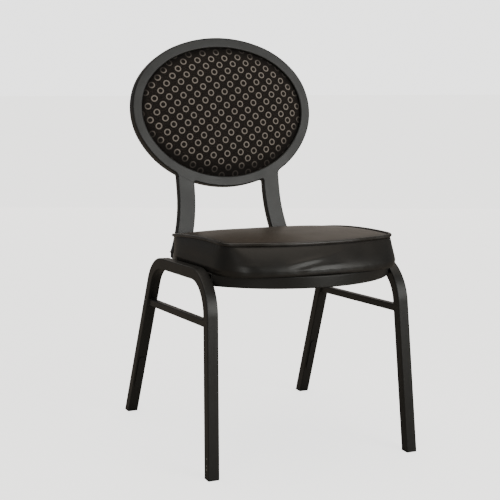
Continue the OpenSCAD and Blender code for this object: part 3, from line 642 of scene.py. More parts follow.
# Back frame
# The oval is one tube of a tall rounded section, rolled in arcs that run into each other and
# butted at its lowest point. Two flat-oval uprights carry it and four tabs hold the pad.
oval_half_w = 0.2395
oval_low = 0.1945
oval_high = 0.1815
low_shoulder_r = 0.212
high_shoulder_r = 0.216
low_arc = radians(31)
low_shoulder = radians(32)
high_arc = radians(22)
high_shoulder = radians(27)
ring_face = 0.0254
ring_depth = 0.028
ring_corner = 0.0035


def quarter_radii(dx, dy, a, b, middle_r):
    """The first and last radius of three arcs that make a quarter of an oval."""
    s1, c1, s2, c2 = sin(a), cos(a), sin(a + b), cos(a + b)
    x, y = dx - middle_r * (s2 - s1), dy - middle_r * (c1 - c2)
    size = s1 * c2 - (1 - s2) * (1 - c1)
    return (x * c2 - (1 - s2) * y) / size, (s1 * y - (1 - c1) * x) / size


def quarter_arcs(first_c, radii, middle_r, a, b, start, way):
    """Centre, radius, start and end of three arcs that turn one way from a start angle."""
    middle_c = stepped(first_c, start + way * a, radii[0] - middle_r)
    last_c = stepped(middle_c, start + way * (a + b), middle_r - radii[1])
    marks = [start, start + way * a, start + way * (a + b), start + way * pi / 2]
    return list(zip((first_c, middle_c, last_c), (radii[0], middle_r, radii[1]), marks, marks[1:]))


def run_back(arcs):
    return [(centre, radius, end, start) for centre, radius, start, end in reversed(arcs)]


oval_middle = (oval_low - oval_high) / 2
low_radii = quarter_radii(oval_half_w, oval_low, low_arc, low_shoulder, low_shoulder_r)
high_radii = quarter_radii(oval_half_w, oval_high, high_arc, high_shoulder, high_shoulder_r)
low_centre = (0, oval_middle - oval_low + low_radii[0])
high_centre = (0, oval_middle + oval_high - high_radii[0])
low = (low_centre, low_radii, low_shoulder_r, low_arc, low_shoulder, -pi / 2)
high = (high_centre, high_radii, high_shoulder_r, high_arc, high_shoulder, pi / 2)
oval_arcs = (quarter_arcs(*low, 1) + run_back(quarter_arcs(*high, -1))
             + quarter_arcs(*high, 1) + run_back(quarter_arcs(*low, -1)))


def oval(inset, step=bend_step):
    """Points of the oval, a distance in from its outer edge, from its lowest point round."""
    return [point for centre, radius, start, end in oval_arcs
            for point in arc(centre, radius - inset, start, end, step)]


ring_level = back_plane @ Matrix.Translation((0, 0, -ring_depth / 2))
piece_of("oval_ring", bent_tube(oval(ring_face / 2), ring_level, ring_face, ring_depth,
                                ring_corner, closed=True), "back_ring")
coat_nodes(powder_coat, "back_upright_left", "back_upright_right", "back_tabs")

# Welds of the back and the seat frame
# Each upright meets the oval in a ground fillet that runs level over the front, so the two
# faces read as one. Its foot, the apron's ends and the bearers' ends have rippled beads.
upright_x = 0.115
upright_w = 0.043
upright_depth = 0.020
upright_turn = 0.195
upright_r = 0.420
upright_foot_low = -0.37
joint_low = -0.24
joint_high = -0.14
fillet = 0.0095
fillet_steps = 8
fillet_proud = 0.00010
front_round = 0.96
round_depths = (0.0004, 0.0012, 0.0024)
rear_round_depth = 0.003
rear_edge_in = 0.0004
rear_edge_inset = 0.0008
under_in = 0.003
under_past = 0.0025
on_oval_in = 0.001
rear_bead_places = (-0.48, -0.3, -0.1, 0.1, 0.3, 0.48)
rear_bead_in = 0.0002
foot_corner_in = 0.0015
foot_corner_out = 0.0005
bearer_bead_top = 0.1
oval_outer_r = low_radii[0]


def upright_point(side, outward, y):
    """A point along an upright, outward from its middle line, on the back's drawing plane."""
    reach = (upright_r - outward) ** 2 - (min(y, -upright_turn) + upright_turn) ** 2
    return Vector((side * (upright_x + upright_r - sqrt(reach)), y))


def found_zero(measure, low, high):
    """Where a rising or falling measure crosses zero between two values."""
    falling = measure(low) > measure(high)
    for halving in range(40):
        middle = (low + high) / 2
        if (measure(middle) < 0) != falling:
            low = middle
        else:
            high = middle
    return (low + high) / 2


def oval_joint(side, outward, radius):
    """Where a line along an upright meets a circle about the oval's low middle."""
    def past_circle(y):
        return (upright_point(side, outward, y) - Vector(low_centre)).length - radius
    return upright_point(side, outward, found_zero(past_circle, joint_low, joint_high))


def fillet_outline(side, inset):
    """The ground weld on an upright: a band over the joint with a hollow fillet at each end."""
    ends = []
    radius = oval_outer_r - inset
    inner_r = oval_outer_r - ring_corner - on_oval_in
    for way in (-1, 1):
        outward = way * (upright_w / 2 - inset)
        corner = oval_joint(side, outward, radius)
        low = upright_point(side, outward, corner.y - fillet)
        angle = heading(low_centre, corner) + side * way * fillet / radius
        on_oval = Vector(stepped(low_centre, angle, radius))
        hollow = [low.lerp(corner, t).lerp(corner.lerp(on_oval, t), t)
                  for t in (i / fillet_steps for i in range(fillet_steps + 1))]
        under_y = oval_joint(side, outward, oval_outer_r).y - under_past
        under = upright_point(side, outward - way * under_in, under_y)
        ends.append([under] + hollow + [Vector(stepped(low_centre, angle, inner_r))])
    first, last = (heading(low_centre, end[-1]) for end in ends)
    across = [Vector(stepped(low_centre, first + (last - first) * t, inner_r))
              for t in (0.25, 0.5, 0.75)]
    return ends[0] + across + ends[1][::-1]


def ring_faces(rings, count, joined=False):
    """Faces between rings of as many points; joined closes the last ring to the first."""
    return [(i * count + k, i * count + (k + 1) % count,
             (i + 1) % rings * count + (k + 1) % count, (i + 1) % rings * count + k)
            for i in range(rings if joined else rings - 1) for k in range(count)]


# How deep each ring of the ground weld lies, and how far it is set in from the outline
weld_rings = [(fillet_proud, ring_corner * front_round)]
weld_rings += [(-d, ring_corner - sqrt(ring_corner ** 2 - (ring_corner - d) ** 2))
               for d in round_depths]
weld_rings += [(-ring_corner, 0), (-upright_depth + rear_round_depth, 0),
               (-upright_depth + rear_edge_in, rear_edge_inset)]
seat_top = seat_plane @ Vector((0, 0, -cover_t))
seat_up = seat_turn @ Vector((0, 0, 1))
for side, word in sides:
    rings = [[(*p, depth) for p in fillet_outline(side, inset)] for depth, inset in weld_rings]
    count = len(rings[0])
    faces = ring_faces(len(rings), count)
    faces += [tuple(range(count)),
              tuple(range(len(rings) * count - 1, (len(rings) - 1) * count - 1, -1))]
    ground = bmesh.new()
    corners = [ground.verts.new(back_plane @ Vector(p)) for ring in rings for p in ring]
    for face in faces:
        ground.faces.new([corners[k] for k in face])
    piece_of(f"upright_weld_{word}", with_flat_faces(skin_mesh("ground weld", ground)))
    rear = [oval_joint(side, upright_w * t, oval_outer_r) for t in rear_bead_places]
    rear = [back_plane @ Vector((*p, -upright_depth - rear_bead_in)) for p in rear]
    weld(f"upright_rear_weld_{word}", [rear], closed=False)

    foot = []
    front_d, rear_d = -foot_corner_in, foot_corner_in - upright_depth
    for way, depth in ((-1, front_d), (1, front_d), (1, rear_d), (-1, rear_d)):
        def above_seat(y):
            point = upright_point(side, way * (upright_w / 2 - foot_corner_in), y)
            return (back_plane @ Vector((*point, depth)) - seat_top).dot(seat_up)
        y = found_zero(above_seat, upright_foot_low, -upright_turn)
        point = upright_point(side, way * (upright_w / 2 - foot_corner_out), y)
        foot.append(back_plane @ Vector((*point, depth)))
    weld(f"upright_foot_weld_{word}", [foot])

    leg_face, outward = inner_face(side)
    end = []
    for radius, z in ((bow_r, 0), (bow_r - tube, 0), (bow_r - tube, -tube), (bow_r, -tube)):
        def past_leg(angle):
            point = Vector((*stepped(bow_centre, angle, radius), z - cover_t))
            return (seat_plane @ point - leg_face).dot(outward)
        angle = found_zero(past_leg, -pi / 2, -pi / 2 + side * bow_reach)
        end.append(seat_plane @ Vector((*stepped(bow_centre, angle, radius), z - cover_t)))
    weld(f"apron_weld_{word}", [end])

    lines = []
    along = Vector((side * (bearer_end_x - bearer_x), cross_rail_y - bearer_turn_y)).normalized()
    across = Vector((-along.y, along.x)) * tube / 2
    rear = [Vector((side * bearer_end_x, cross_rail_y)) + across * way for way in (1, -1)]
    rear = [p - along * (p.y - cross_rail_y + tube / 2) / along.y for p in rear]
    for first, last in (bearer_cope(side), rear):
        lines.append([seat_plane @ Vector((*p, -cover_t - bearer_h * low)) for p, low in
                      ((first, bearer_bead_top), (first, 1), (last, 1), (last, bearer_bead_top))])
    for y in (-front_bar_y, -rear_bar_y):
        lines.append([seat_plane @ Vector((side * (bearer_x - tube / 2), y + way * bar_w / 2,
                                           -cover_t - bar_t)) for way in (-1, 1)])
    weld(f"seat_frame_welds_{word}", lines, closed=False)

# Feet and bumpers
# A black plastic glide closes each tube end, with its plug pressed up inside. A ribbed plastic
# strip on the rear face of each rear leg keeps stacked chairs from scratching each other.
plastic_colour = (0.018, 0.018, 0.018)
plastic_dust_colour = (0.09, 0.085, 0.08)
plastic, tree, shader = finish_of("black moulded plastic", plastic_colour, roughness=0.5)
texture = use_effect(tree, orange_peel, Size=0.0006, Roughness=0.5, Spread=0.2, Patch=0.02)
film = use_effect(tree, dust, Amount=0.5, Patch=0.01)
dress(tree, shader, texture["Height"], depth=0.00002, Roughness=texture["Roughness"],
      Base_Color=blended(tree, film["Mask"], plastic_colour, plastic_dust_colour))
coat_nodes(plastic, "glide_front_left", "glide_front_right", "glide_rear_left",
           "glide_rear_right", "stack_bumper_left", "stack_bumper_right", "back_panel_clips")

# Fasteners
# Zinc-plated screws go up through the seat bars, and back through the tabs, into T-nuts that
# are pressed into the boards.
zinc_colour = (0.52, 0.52, 0.50)
zinc_stain_colour = (0.40, 0.38, 0.33)
zinc, tree, shader = finish_of("bright zinc plate", zinc_colour, roughness=0.32, Metallic=1.0)
plating = use_effect(tree, orange_peel, Size=0.0004, Roughness=0.34, Spread=0.3, Patch=0.004)
stain = noise(tree, object_place(tree), scale=260.0, detail=5.0)
dress(tree, shader, plating["Height"], depth=0.00001, Roughness=plating["Roughness"],
      Base_Color=blended(tree, stain, zinc_colour, zinc_stain_colour))
coat_nodes(zinc, "seat_t_nuts", "seat_screws", "back_t_nuts", "back_screws")

# Boards and foam
# The seat board and the back board are birch plywood, the rear panel is hardboard, and the
# pads are cut from open-cell foam. All of it is covered, and shows only in an exploded view.
ply_pale = (0.55, 0.40, 0.24)
ply_dark = (0.36, 0.23, 0.12)
hardboard_colour = (0.24, 0.13, 0.06)
fibre_colour = (0.34, 0.21, 0.11)
foam_colour = (0.72, 0.64, 0.36)
cell_colour = (0.46, 0.38, 0.18)


def two_tone(name, below, above, texture, roughness, depth, **settings):
    """A dry material whose colour and bumps both follow the texture that a function makes."""
    material, tree, shader = finish_of(name, below, roughness, **settings)
    height = texture(tree, object_place(tree))
    dress(tree, shader, height, depth, Base_Color=blended(tree, height, below, above))
    return material


def ply_grain(tree, place):
    drawn_out = passed(tree, "ShaderNodeMapping", {"Vector": place, "Scale": (1.0, 12.0, 12.0)})
    return noise(tree, drawn_out, scale=18.0, detail=8.0, Distortion=1.2)


def fibres(tree, place):
    return noise(tree, place, scale=900.0, detail=4.0)


def open_cells(tree, place):
    return linked(tree, "ShaderNodeTexVoronoi",
                  {"Vector": place, "Scale": 900.0}).outputs["Distance"]


coat_nodes(two_tone("birch plywood", ply_pale, ply_dark, ply_grain, roughness=0.7,
                    depth=0.0002), "seat_board", "back_board")
coat_nodes(two_tone("hardboard", hardboard_colour, fibre_colour, fibres, roughness=0.75,
                    depth=0.0001), "back_rear_panel")
coat_nodes(two_tone("open-cell foam", foam_colour, cell_colour, open_cells, roughness=0.95,
                    depth=0.0004), "seat_foam", "back_foam", "back_rear_foam")

# Vinyl of the seat and of the back's rear side
# Black-brown upholstery vinyl on a knitted backing: a pebbled grain and a semi-gloss skin that is
# duller where it is rubbed. The seat's top is painted paler and warmer, a painted sheen of the warm
# light it reflects, and the top is painted dark along the seam, a painted shade of the seam's
# valley.
vinyl_colour = (0.0130, 0.0122, 0.0105)
vinyl_worn_colour = (0.022, 0.0195, 0.0165)
# Painted sheen: this paler, warmer colour of the seat's top stands in for the warm light it
# reflects
vinyl_painted_sheen_colour = (0.062, 0.048, 0.036)
vinyl_dust_colour = (0.11, 0.095, 0.08)
# Painted shade: near-black colour along the top's seam, in place of the shade in the valley above
# the cord
vinyl_seam_shade_colour = (0.004, 0.003, 0.0025)
vinyl_specular = 0.5
seam_shade_specular = 0.04
vinyl_grain_size = 0.0011
vinyl_grain_depth = 0.00007

pebble, given = effect(
    "pebble grain", {"Size": 0.001, "Roughness": 0.4, "Spread": 0.1, "Patch": 0.05},
    ["Height", "Roughness", "Wear"])
place = object_place(pebble)
pebbles = linked(pebble, "ShaderNodeTexVoronoi",
                 {"Vector": place, "Scale": per_metre(pebble, given["Size"])},
                 feature="SMOOTH_F1").outputs["Distance"]
creases = noise(pebble, place, per_metre(pebble, given["Size"]), detail=6.0)
rubbed = noise(pebble, place, per_metre(pebble, given["Patch"]), detail=4.0)
give(pebble, Height=worked(pebble, "MULTIPLY", pebbles, creases),
     Roughness=patchy_shine(pebble, given, rubbed),
     Wear=stretched(pebble, rubbed, low=0.4, high=0.75))


def mark_of(tree, name):
    """A number that the mesh holds at each point, for a material to read."""
    return linked(tree, "ShaderNodeAttribute", attribute_name=name,
                  attribute_type="GEOMETRY").outputs["Fac"]


vinyl, tree, shader = finish_of("black-brown vinyl", vinyl_colour, roughness=0.36)
leather = use_effect(tree, pebble, Size=vinyl_grain_size, Roughness=0.37, Spread=0.16, Patch=0.07)
film = use_effect(tree, dust, Amount=0.15, Patch=0.05)
toned = blended(tree, leather["Wear"], vinyl_colour, vinyl_worn_colour)
# Painted sheen on the seat's top: paler and warmer where the mesh marks it
toned = blended(tree, mark_of(tree, "painted top sheen"), toned, vinyl_painted_sheen_colour)
toned = blended(tree, film["Mask"], toned, vinyl_dust_colour)
# Painted shade along the seam: the colour goes near black and the shine is dulled there
painted_seam_shade = mark_of(tree, "painted seam shade")
dulled = stretched(tree, painted_seam_shade, to_low=vinyl_specular, to_high=seam_shade_specular)
dress(tree, shader, leather["Height"], vinyl_grain_depth, Roughness=leather["Roughness"],
      Specular_IOR_Level=dulled, Base_Color=blended(tree, painted_seam_shade, toned, vinyl_seam_shade_colour))

# Seat cushion
# A foam block on the seat board wears a top panel and a tall boxing, sewn together with a
# corded seam. The boxing is pulled down round the board's edge and stapled under it.
# Outlines from above: half width, front, and the radii of the bowed front, of the front
# corners and of the rear corners
seat_low = (0.2125, 0.321, 0.546, 0.092, 0.180)
seat_wide = (0.215, 0.326, 0.546, 0.092, 0.180)
seat_top_outline = (0.204, 0.292, 0.520, 0.036, 0.140)
seat_rear_y = 0.180
seam_h = 0.067
seam_peak_y = 0.165
seam_r = 2.150
seat_crown = 0.0066
crown_power = 5.0
piping_r = 0.0040
hem_w = 0.020
seat_rear_r = 0.450
seat_mid_y = -0.055
bulge_h = 0.012
waist_out = 0.001
side_bulge_power = 1.6
# Points on each half of the outline
bow_points = 20
corner_points = 9
side_points = 22
rear_corner_points = 18
rear_points = 8
edge_roll = 0.003
roll_turns = (pi / 6, pi / 3, pi / 2)
hem_up = 0.002
# Where the boxing's fuller front begins, and over how much depth it comes in
full_front_y = -0.235
full_front_run = 0.05
# Rings above the board's edge: height, and share of the bulge at the sides and at the front
foot_rings = ((0.0040, 0.0, 1.08), (0.0072, 0.1, 1.06), (0.0096, 0.55, 1.03))
cover_shares = (0, 0.14, 0.28, 0.42, 0.56, 0.70, 0.82, 0.91, 0.965, 1)
# How firmly the boxing is held: at its foot, how fast it comes free, and near the seam
foot_hold = 0.9
foot_hold_fall = 2.2
seam_hold_rise = 5.5
sewn_from = 0.9
seam_set = piping_r * 0.5
lip_in = 0.0006
lip_share = 0.12
swell = 0.0022
# Rings that tuck the top panel in behind the cord: how far in and up, in cord radii
tuck_rings = ((0.6, -0.2), (1.1, 0.25))
shoulder_in = 1.5
shoulder_up = 0.3
top_rows = 19
top_row_power = 1.25
top_hold_step = 0.3


def seat_outline(half, front, front_r, corner_r, rear_corner_r):
    """The cushion from above: bowed front, tight front corners, sides, wide rear corners."""
    bow_c = (0, front_r - front)
    corner_x = half - corner_r
    corner_c = (corner_x, bow_c[1] - sqrt((front_r - corner_r) ** 2 - corner_x ** 2))
    rear_c = (0, seat_rear_y - seat_rear_r)
    rear_x = half - rear_corner_r
    rear_corner_c = (rear_x, rear_c[1] + sqrt((seat_rear_r - rear_corner_r) ** 2 - rear_x ** 2))
    a, b = heading(bow_c, corner_c), heading(rear_c, rear_corner_c)
    right = arc(bow_c, front_r, -pi / 2, a, count=bow_points)
    right += arc(corner_c, corner_r, a, 0, count=corner_points)
    right += [(half, corner_c[1] + (rear_corner_c[1] - corner_c[1]) * i / side_points)
              for i in range(side_points)]
    right += arc(rear_corner_c, rear_corner_r, 0, b, count=rear_corner_points)
    right += arc(rear_c, seat_rear_r, b, pi / 2, count=rear_points)
    return np.array(right + [(0, seat_rear_y)] + [(-x, y) for x, y in reversed(right[1:])])


def widened(points, by):
    """Points moved outward, square to the outline."""
    run = np.roll(points, -1, axis=0) - np.roll(points, 1, axis=0)
    return points + by * np.stack([run[:, 1], -run[:, 0]], 1) / np.hypot(*run.T)[:, None]


def seam_z(y):
    return seam_h - (y + seam_peak_y) ** 2 / (2 * seam_r)


def between(low, high, share):
    return low + (high - low) * share


def side_outline(share):
    """The boxing's outline at a share of its height, from its widest line to the seam."""
    s = share ** side_bulge_power
    return seat_outline(*(between(a, b, s) for a, b in zip(seat_wide, seat_top_outline)))


def raised(points, z):
    return np.column_stack([points, np.broadcast_to(z, len(points))])


def rolled_edge(line, z, radius):
    """Rings that roll from a flat underside up into the sides."""
    return [raised(widened(line, -radius * (1 - sin(a))), z + radius * (1 - cos(a)))
            for a in roll_turns]


def ring_skin(name, rings, low_tip, high_tip):
    """A closed skin through rings of as many points, with a pole at each end."""
    count = len(rings[0])
    points = [tuple(p) for ring in rings for p in ring] + [tuple(low_tip), tuple(high_tip)]
    last = (len(rings) - 1) * count
    faces = ring_faces(len(rings), count)
    faces += [((k + 1) % count, k, len(points) - 2) for k in range(count)]
    faces += [(last + k, last + (k + 1) % count, len(points) - 1) for k in range(count)]
    mesh = bpy.data.meshes.new(name)
    mesh.from_pydata(points, [], faces)
    return smooth(mesh)


def positions(mesh, kind="co"):
    flat = np.empty(len(mesh.vertices) * 3)
    mesh.vertices.foreach_get(kind, flat)
    return flat.reshape(-1, 3)


def set_positions(mesh, points):
    mesh.vertices.foreach_set("co", np.ascontiguousarray(points, dtype=float).ravel())
    mesh.update()


cloth_frames = 20
cloth_pressure = 4.0


def inflated(mesh, held, cap):
    """Blows up a cover by cloth simulation. held is how firmly each point is fixed, 0 to 1."""
    start = positions(mesh)
    blown = added("blown cover", mesh)
    group = blown.vertex_groups.new(name="held")
    for index, weight in enumerate(held):
        group.add([index], float(weight), "REPLACE")
    modifier = blown.modifiers.new("cloth", "CLOTH")
    cloth = modifier.settings
    cloth.quality = 5
    cloth.mass = 0.4
    cloth.tension_stiffness = cloth.compression_stiffness = 30
    cloth.shear_stiffness = 12
    cloth.bending_stiffness = 1.5
    cloth.vertex_group_mass = "held"
    cloth.use_pressure = True
    cloth.uniform_pressure_force = cloth_pressure
    cloth.effector_weights.gravity = 0
    modifier.point_cache.frame_start = 1
    modifier.point_cache.frame_end = cloth_frames
    for frame_number in range(1, cloth_frames + 1):
        bpy.context.scene.frame_set(frame_number)
    moved = positions(evaluated(blown)) - start
    far = np.linalg.norm(moved, axis=1)
    share = cap * np.tanh(far / cap) / np.maximum(far, 1e-9) * (1 - np.array(held))
    set_positions(mesh, start + moved * share[:, None])
    bpy.context.scene.frame_set(1)


def blown_up(mesh, held, cap):
    """An inflated cover, made finer."""
    inflated(mesh, held, cap)
    return changed(mesh, "SUBSURF", levels=2, render_levels=2)


centre = np.array([0, seat_mid_y])


def shrunk(line, inset):
    """An outline drawn toward the seat's middle, by a distance at its sides."""
    return centre + (line - centre) * (1 - inset / seat_low[0])


low_line = seat_outline(*seat_low)
wide_line = side_outline(0)
top_line = side_outline(1)
seat_hem_line = shrunk(low_line, hem_w)
at_front = np.clip((full_front_y - low_line[:, 1]) / full_front_run, 0, 1)[:, None]
tuck_line = low_line + (wide_line - low_line) * at_front
flat_edge = widened(tuck_line, -edge_roll)
rings = [raised(seat_hem_line, hem_up), raised(seat_hem_line, -cover_t)]
rings += [raised(seat_hem_line + (flat_edge - seat_hem_line) * k, -cover_t) for k in (0.5, 1)]
rings += rolled_edge(tuck_line, -cover_t, edge_roll)
waist_line = widened(low_line, waist_out)
for z, sides_out, front_out in foot_rings:
    out = sides_out + (front_out - sides_out) * at_front
    rings.append(raised(waist_line + (wide_line - waist_line) * out, z))
holds = [1] * len(rings)
for share in cover_shares:
    lip = lip_in * max(0, (share - 1 + lip_share) / lip_share) ** 1.5
    ring = widened(side_outline(share), -swell * sin(pi * share) - lip)
    rings.append(raised(ring, between(bulge_h, seam_z(ring[:, 1]) - seam_set, share)))
    near_seam = 1 if share >= sewn_from else 1 - (1 - share) * seam_hold_rise
    holds.append(max(foot_hold - foot_hold_fall * share, near_seam, 0))
for inward, up in tuck_rings:
    rings.append(raised(widened(top_line, -piping_r * inward),
                        seam_z(top_line[:, 1]) + piping_r * up))
    holds.append(1)
shoulder = widened(top_line, -piping_r * shoulder_in)
shoulder_h = piping_r * shoulder_up
crown = seat_crown + cover_t - swell * 0.5 - shoulder_h
for k in range(top_rows):
    share = 1 - (k / top_rows) ** top_row_power
    line = centre + (shoulder - centre) * share
    rings.append(raised(line, seam_z(line[:, 1]) + shoulder_h + crown * (1 - share ** crown_power)))
    holds.append(max(0, 1 - top_hold_step * k))
cushion_mesh = ring_skin("seat_cushion", rings, (0, seat_mid_y, hem_up),
                         (0, seat_mid_y, seam_z(seat_mid_y) + seat_crown))
cushion_mesh = blown_up(cushion_mesh, list(np.repeat(holds, len(low_line))) + [1, 0], cap=0.004)

# Creases of the cover, as [start, end, half width, depth]; points are [x, height over the board]
# on the front, where the foam is a little short of the vinyl
front_creases = (
    ((-0.086, 0.022), (0.000, 0.035), 0.0050, 0.0013),
    ((-0.080, 0.015), (-0.014, 0.026), 0.0045, -0.0010),
    ((-0.064, 0.010), (-0.036, 0.014), 0.0030, 0.0005),
    ((0.000, 0.035), (0.050, 0.046), 0.0045, 0.0003),
    ((-0.020, 0.018), (0.045, 0.020), 0.0035, 0.0006),
    ((0.120, 0.030), (0.185, 0.036), 0.0060, 0.0006),
    ((-0.190, 0.024), (-0.140, 0.020), 0.0050, 0.0006))
crease_behind_y = -0.22
crease_above = 0.004
crease_end = 0.05
crease_power = 0.7
# Puckers of the seam and of the hem: pitch, depth and reach; the tight top panel has least
pucker_pitch = 0.0105
pucker_depth = 0.00035
pucker_reach = 0.007
pucker_on_top = 0.3
pucker_wander = 2.1
pucker_wander_rate = 37
pucker_uneven = 0.4
pucker_uneven_rate = 61
hem_pitch = 0.028
hem_depth = 0.00018
hem_pull_h = 0.006
hem_reach = 0.007
hem_wander_rate = 23
mean_radius = 0.24
# How near the seam the painted shade is full, and how far in it reaches
seam_shade_near = 0.0065
seam_shade_far = 0.0105
# How far in from the seam the painted sheen of the top comes to full strength
painted_sheen_fade = 0.020
above_boxing = 0.02


def marked(mesh, name, values):
    """Writes a number at each point of a mesh, for its material to read."""
    mesh.attributes.new(name, "FLOAT", "POINT").data.foreach_set("value", values)


def distance_to(line, points):
    """How far each point lies from the nearest point of an outline, seen from above."""
    return np.concatenate([np.min(np.linalg.norm(part[:, None, :2] - line[None], axis=2), axis=1)
                           for part in np.array_split(points, 8)])


points = positions(cushion_mesh)
x, y, z = points.T
push = np.zeros(len(points))
below_seam = seam_z(y) - z
front = (y < crease_behind_y) & (z > crease_above) & (z < seam_z(y) - piping_r)
for start, end, half_width, depth in front_creases:
    start, end = np.array(start), np.array(end)
    run = end - start
    flat = points[:, [0, 2]] - start
    t = np.clip(flat @ run / (run @ run), 0, 1)
    away = np.linalg.norm(flat - t[:, None] * run, axis=1)
    fading = np.sin(pi * (t * (1 - 2 * crease_end) + crease_end)) ** crease_power
    push += front * depth * np.exp(-(away / half_width) ** 2) * fading
travel = np.arctan2(y - seat_mid_y, x) * mean_radius
to_seam = distance_to(top_line, points)
high_up = z > above_boxing
on_top = (below_seam < 0) * high_up
# Painted shade: marks the top dark along the seam
seam_shade_share = np.clip((seam_shade_far - to_seam) / (seam_shade_far - seam_shade_near), 0, 1)
marked(cushion_mesh, "painted seam shade", seam_shade_share * on_top)
# Painted sheen: marks the top for its paler, warmer colour, full away from the seam
marked(cushion_mesh, "painted top sheen", np.clip((to_seam - seam_shade_near) / painted_sheen_fade, 0, 1) * on_top)
near_seam = np.exp(-np.where(below_seam > 0, below_seam, to_seam) / pucker_reach) * high_up
gather = np.sin(2 * pi * travel / pucker_pitch
                + pucker_wander * np.sin(travel * pucker_wander_rate))
gather *= 1 - pucker_uneven + pucker_uneven * np.sin(travel * pucker_uneven_rate)
push += pucker_depth * near_seam * gather * np.where(below_seam > 0, 1, pucker_on_top)
hem_pull = np.exp(-((z - hem_pull_h) / hem_reach) ** 2)
hem_wave = np.sin(2 * pi * travel / hem_pitch + np.sin(travel * hem_wander_rate))
push += hem_depth * hem_pull * hem_wave
set_positions(cushion_mesh, points + positions(cushion_mesh, "normal") * push[:, None])
cushion_mesh.transform(seat_plane)
cushion = piece_of("seat_cushion", cushion_mesh, "seat_foam", "seat_top_cover", "seat_boxing",
                   slot="seat_vinyl", material=vinyl)

# Piping of the seat
# A cord in a folded strip of the same vinyl, sewn in all round between the top and the boxing. Its
# vinyl is glossier and painted paler, a painted highlight along the cord.
piping_sides = 14
# Painted highlight: the cord's paler colour stands in for the light it catches
cord_highlight_colour = (0.075, 0.072, 0.070)
cord_roughness = 0.29
rings = [raised(widened(top_line, piping_r * cos(a)), seam_z(top_line[:, 1]) + piping_r * sin(a))
         for a in (2 * pi * i / piping_sides for i in range(piping_sides))]
piping_mesh = bpy.data.meshes.new("seat_piping")
piping_mesh.from_pydata([tuple(p) for ring in rings for p in ring], [],
                        ring_faces(piping_sides, len(top_line), joined=True))
smooth(piping_mesh).transform(seat_plane)
# The cord's vinyl, painted pale as its highlight
painted_highlight_vinyl, tree, shader = finish_of("cord vinyl with a painted highlight", cord_highlight_colour, cord_roughness)
leather = use_effect(tree, pebble, Size=vinyl_grain_size, Roughness=cord_roughness, Spread=0.12,
                     Patch=0.05)
dress(tree, shader, leather["Height"], vinyl_grain_depth / 2, Roughness=leather["Roughness"],
      Base_Color=blended(tree, leather["Wear"], vinyl_worn_colour, cord_highlight_colour))
piece_of("piping_cord", piping_mesh, "seat_piping", slot="seat_vinyl", material=painted_highlight_vinyl)

# Dust cover and staples
# A black nonwoven sheet closes the seat from below. It hangs a little between the bars, and
# both it and the boxing's hem are shot to the board with rows of wire staples.
lining_colour = (0.010, 0.010, 0.010)
strand_colour = (0.030, 0.029, 0.028)
sheet_t = 0.0009
sheet_edge = 0.0012
sheet_gap = 0.0002
sheet_sag = 0.0017
sheet_rows = 26
sheet_first_row = 0.04
sheet_half_w = 0.180
sheet_side_power = 4
sheet_edge_rise = 12
bar_clear = 0.019
apron_reach = 0.300
staple_w = 0.010
staple_wire = 0.0006
staple_step = 0.034
staple_proud = 0.0002
staple_askew = 0.14
staple_insets = (0.009, hem_w + 0.006)


def strands(tree, place):
    return noise(tree, place, scale=700.0, detail=5.0, Distortion=1.5)


lining = two_tone("black nonwoven", lining_colour, strand_colour, strands, roughness=0.95,
                  depth=0.0002, Specular_IOR_Level=0.2)


def sag(points):
    """How far the sheet hangs: nothing over a bar, the most midway between two."""
    x, y = points[:, 0], points[:, 1]
    free = np.ones(len(points))
    for near, far in ((-apron_reach, -front_bar_y), (-front_bar_y, -rear_bar_y),
                      (-rear_bar_y, cross_rail_y)):
        inside = (y > near) & (y <= far)
        share = np.clip((y - near - bar_clear) / (far - near - 2 * bar_clear), 0, 1)
        free[inside] = np.sin(pi * share[inside])
    return sheet_sag * free * np.clip(1 - (np.abs(x) / sheet_half_w) ** sheet_side_power, 0, 1)


sheet_line = shrunk(seat_hem_line, sheet_edge)
rings = []
for drop, ends in ((0.0, (sheet_first_row, 1)), (sheet_t, (1, sheet_first_row))):
    for share in np.linspace(*ends, sheet_rows):
        line = centre + (sheet_line - centre) * share
        hang = sag(line) * min(1, (1 - share) * sheet_edge_rise)
        rings.append(raised(line, -sheet_gap - drop - hang))
middle_z = -sheet_gap - sag(np.array([[0, seat_mid_y]]))[0]
sheet_mesh = ring_skin("dust_cover", rings[::-1], (0, seat_mid_y, middle_z - sheet_t),
                       (0, seat_mid_y, middle_z))
sheet_mesh.transform(seat_plane)
piece_of("dust_cover", sheet_mesh, "seat_dust_cover", slot="lining", material=lining)

# Geometry nodes that set staple crowns in a row along a line, each turned to follow it
staple_nodes, given = geometry_tool("staple row", "Line", "Staples", Step="Float", Size="Vector",
                                    Seed="Int", Wire="Material")
line = passed(staple_nodes, "GeometryNodeMeshToCurve", {"Mesh": given["Line"]})
spots = linked(staple_nodes, "GeometryNodeCurveToPoints",
               {"Curve": line, "Length": given["Step"]}, mode="LENGTH").outputs
along = passed(staple_nodes, "FunctionNodeAlignRotationToVector", {"Vector": spots["Tangent"]},
               axis="X")
askew = passed(staple_nodes, "FunctionNodeRandomValue",
               {"Min": (0, 0, -staple_askew), "Max": (0, 0, staple_askew), "Seed": given["Seed"]},
               data_type="FLOAT_VECTOR")
turned = passed(staple_nodes, "FunctionNodeRotateRotation",
                {"Rotation": along, "Rotate By": askew}, rotation_space="LOCAL")
crown = passed(staple_nodes, "GeometryNodeMeshCube", {"Size": given["Size"]})
set_in = passed(staple_nodes, "GeometryNodeInstanceOnPoints",
                {"Points": spots["Points"], "Instance": crown, "Rotation": turned})
end_tool(staple_nodes, set_in, given["Wire"])

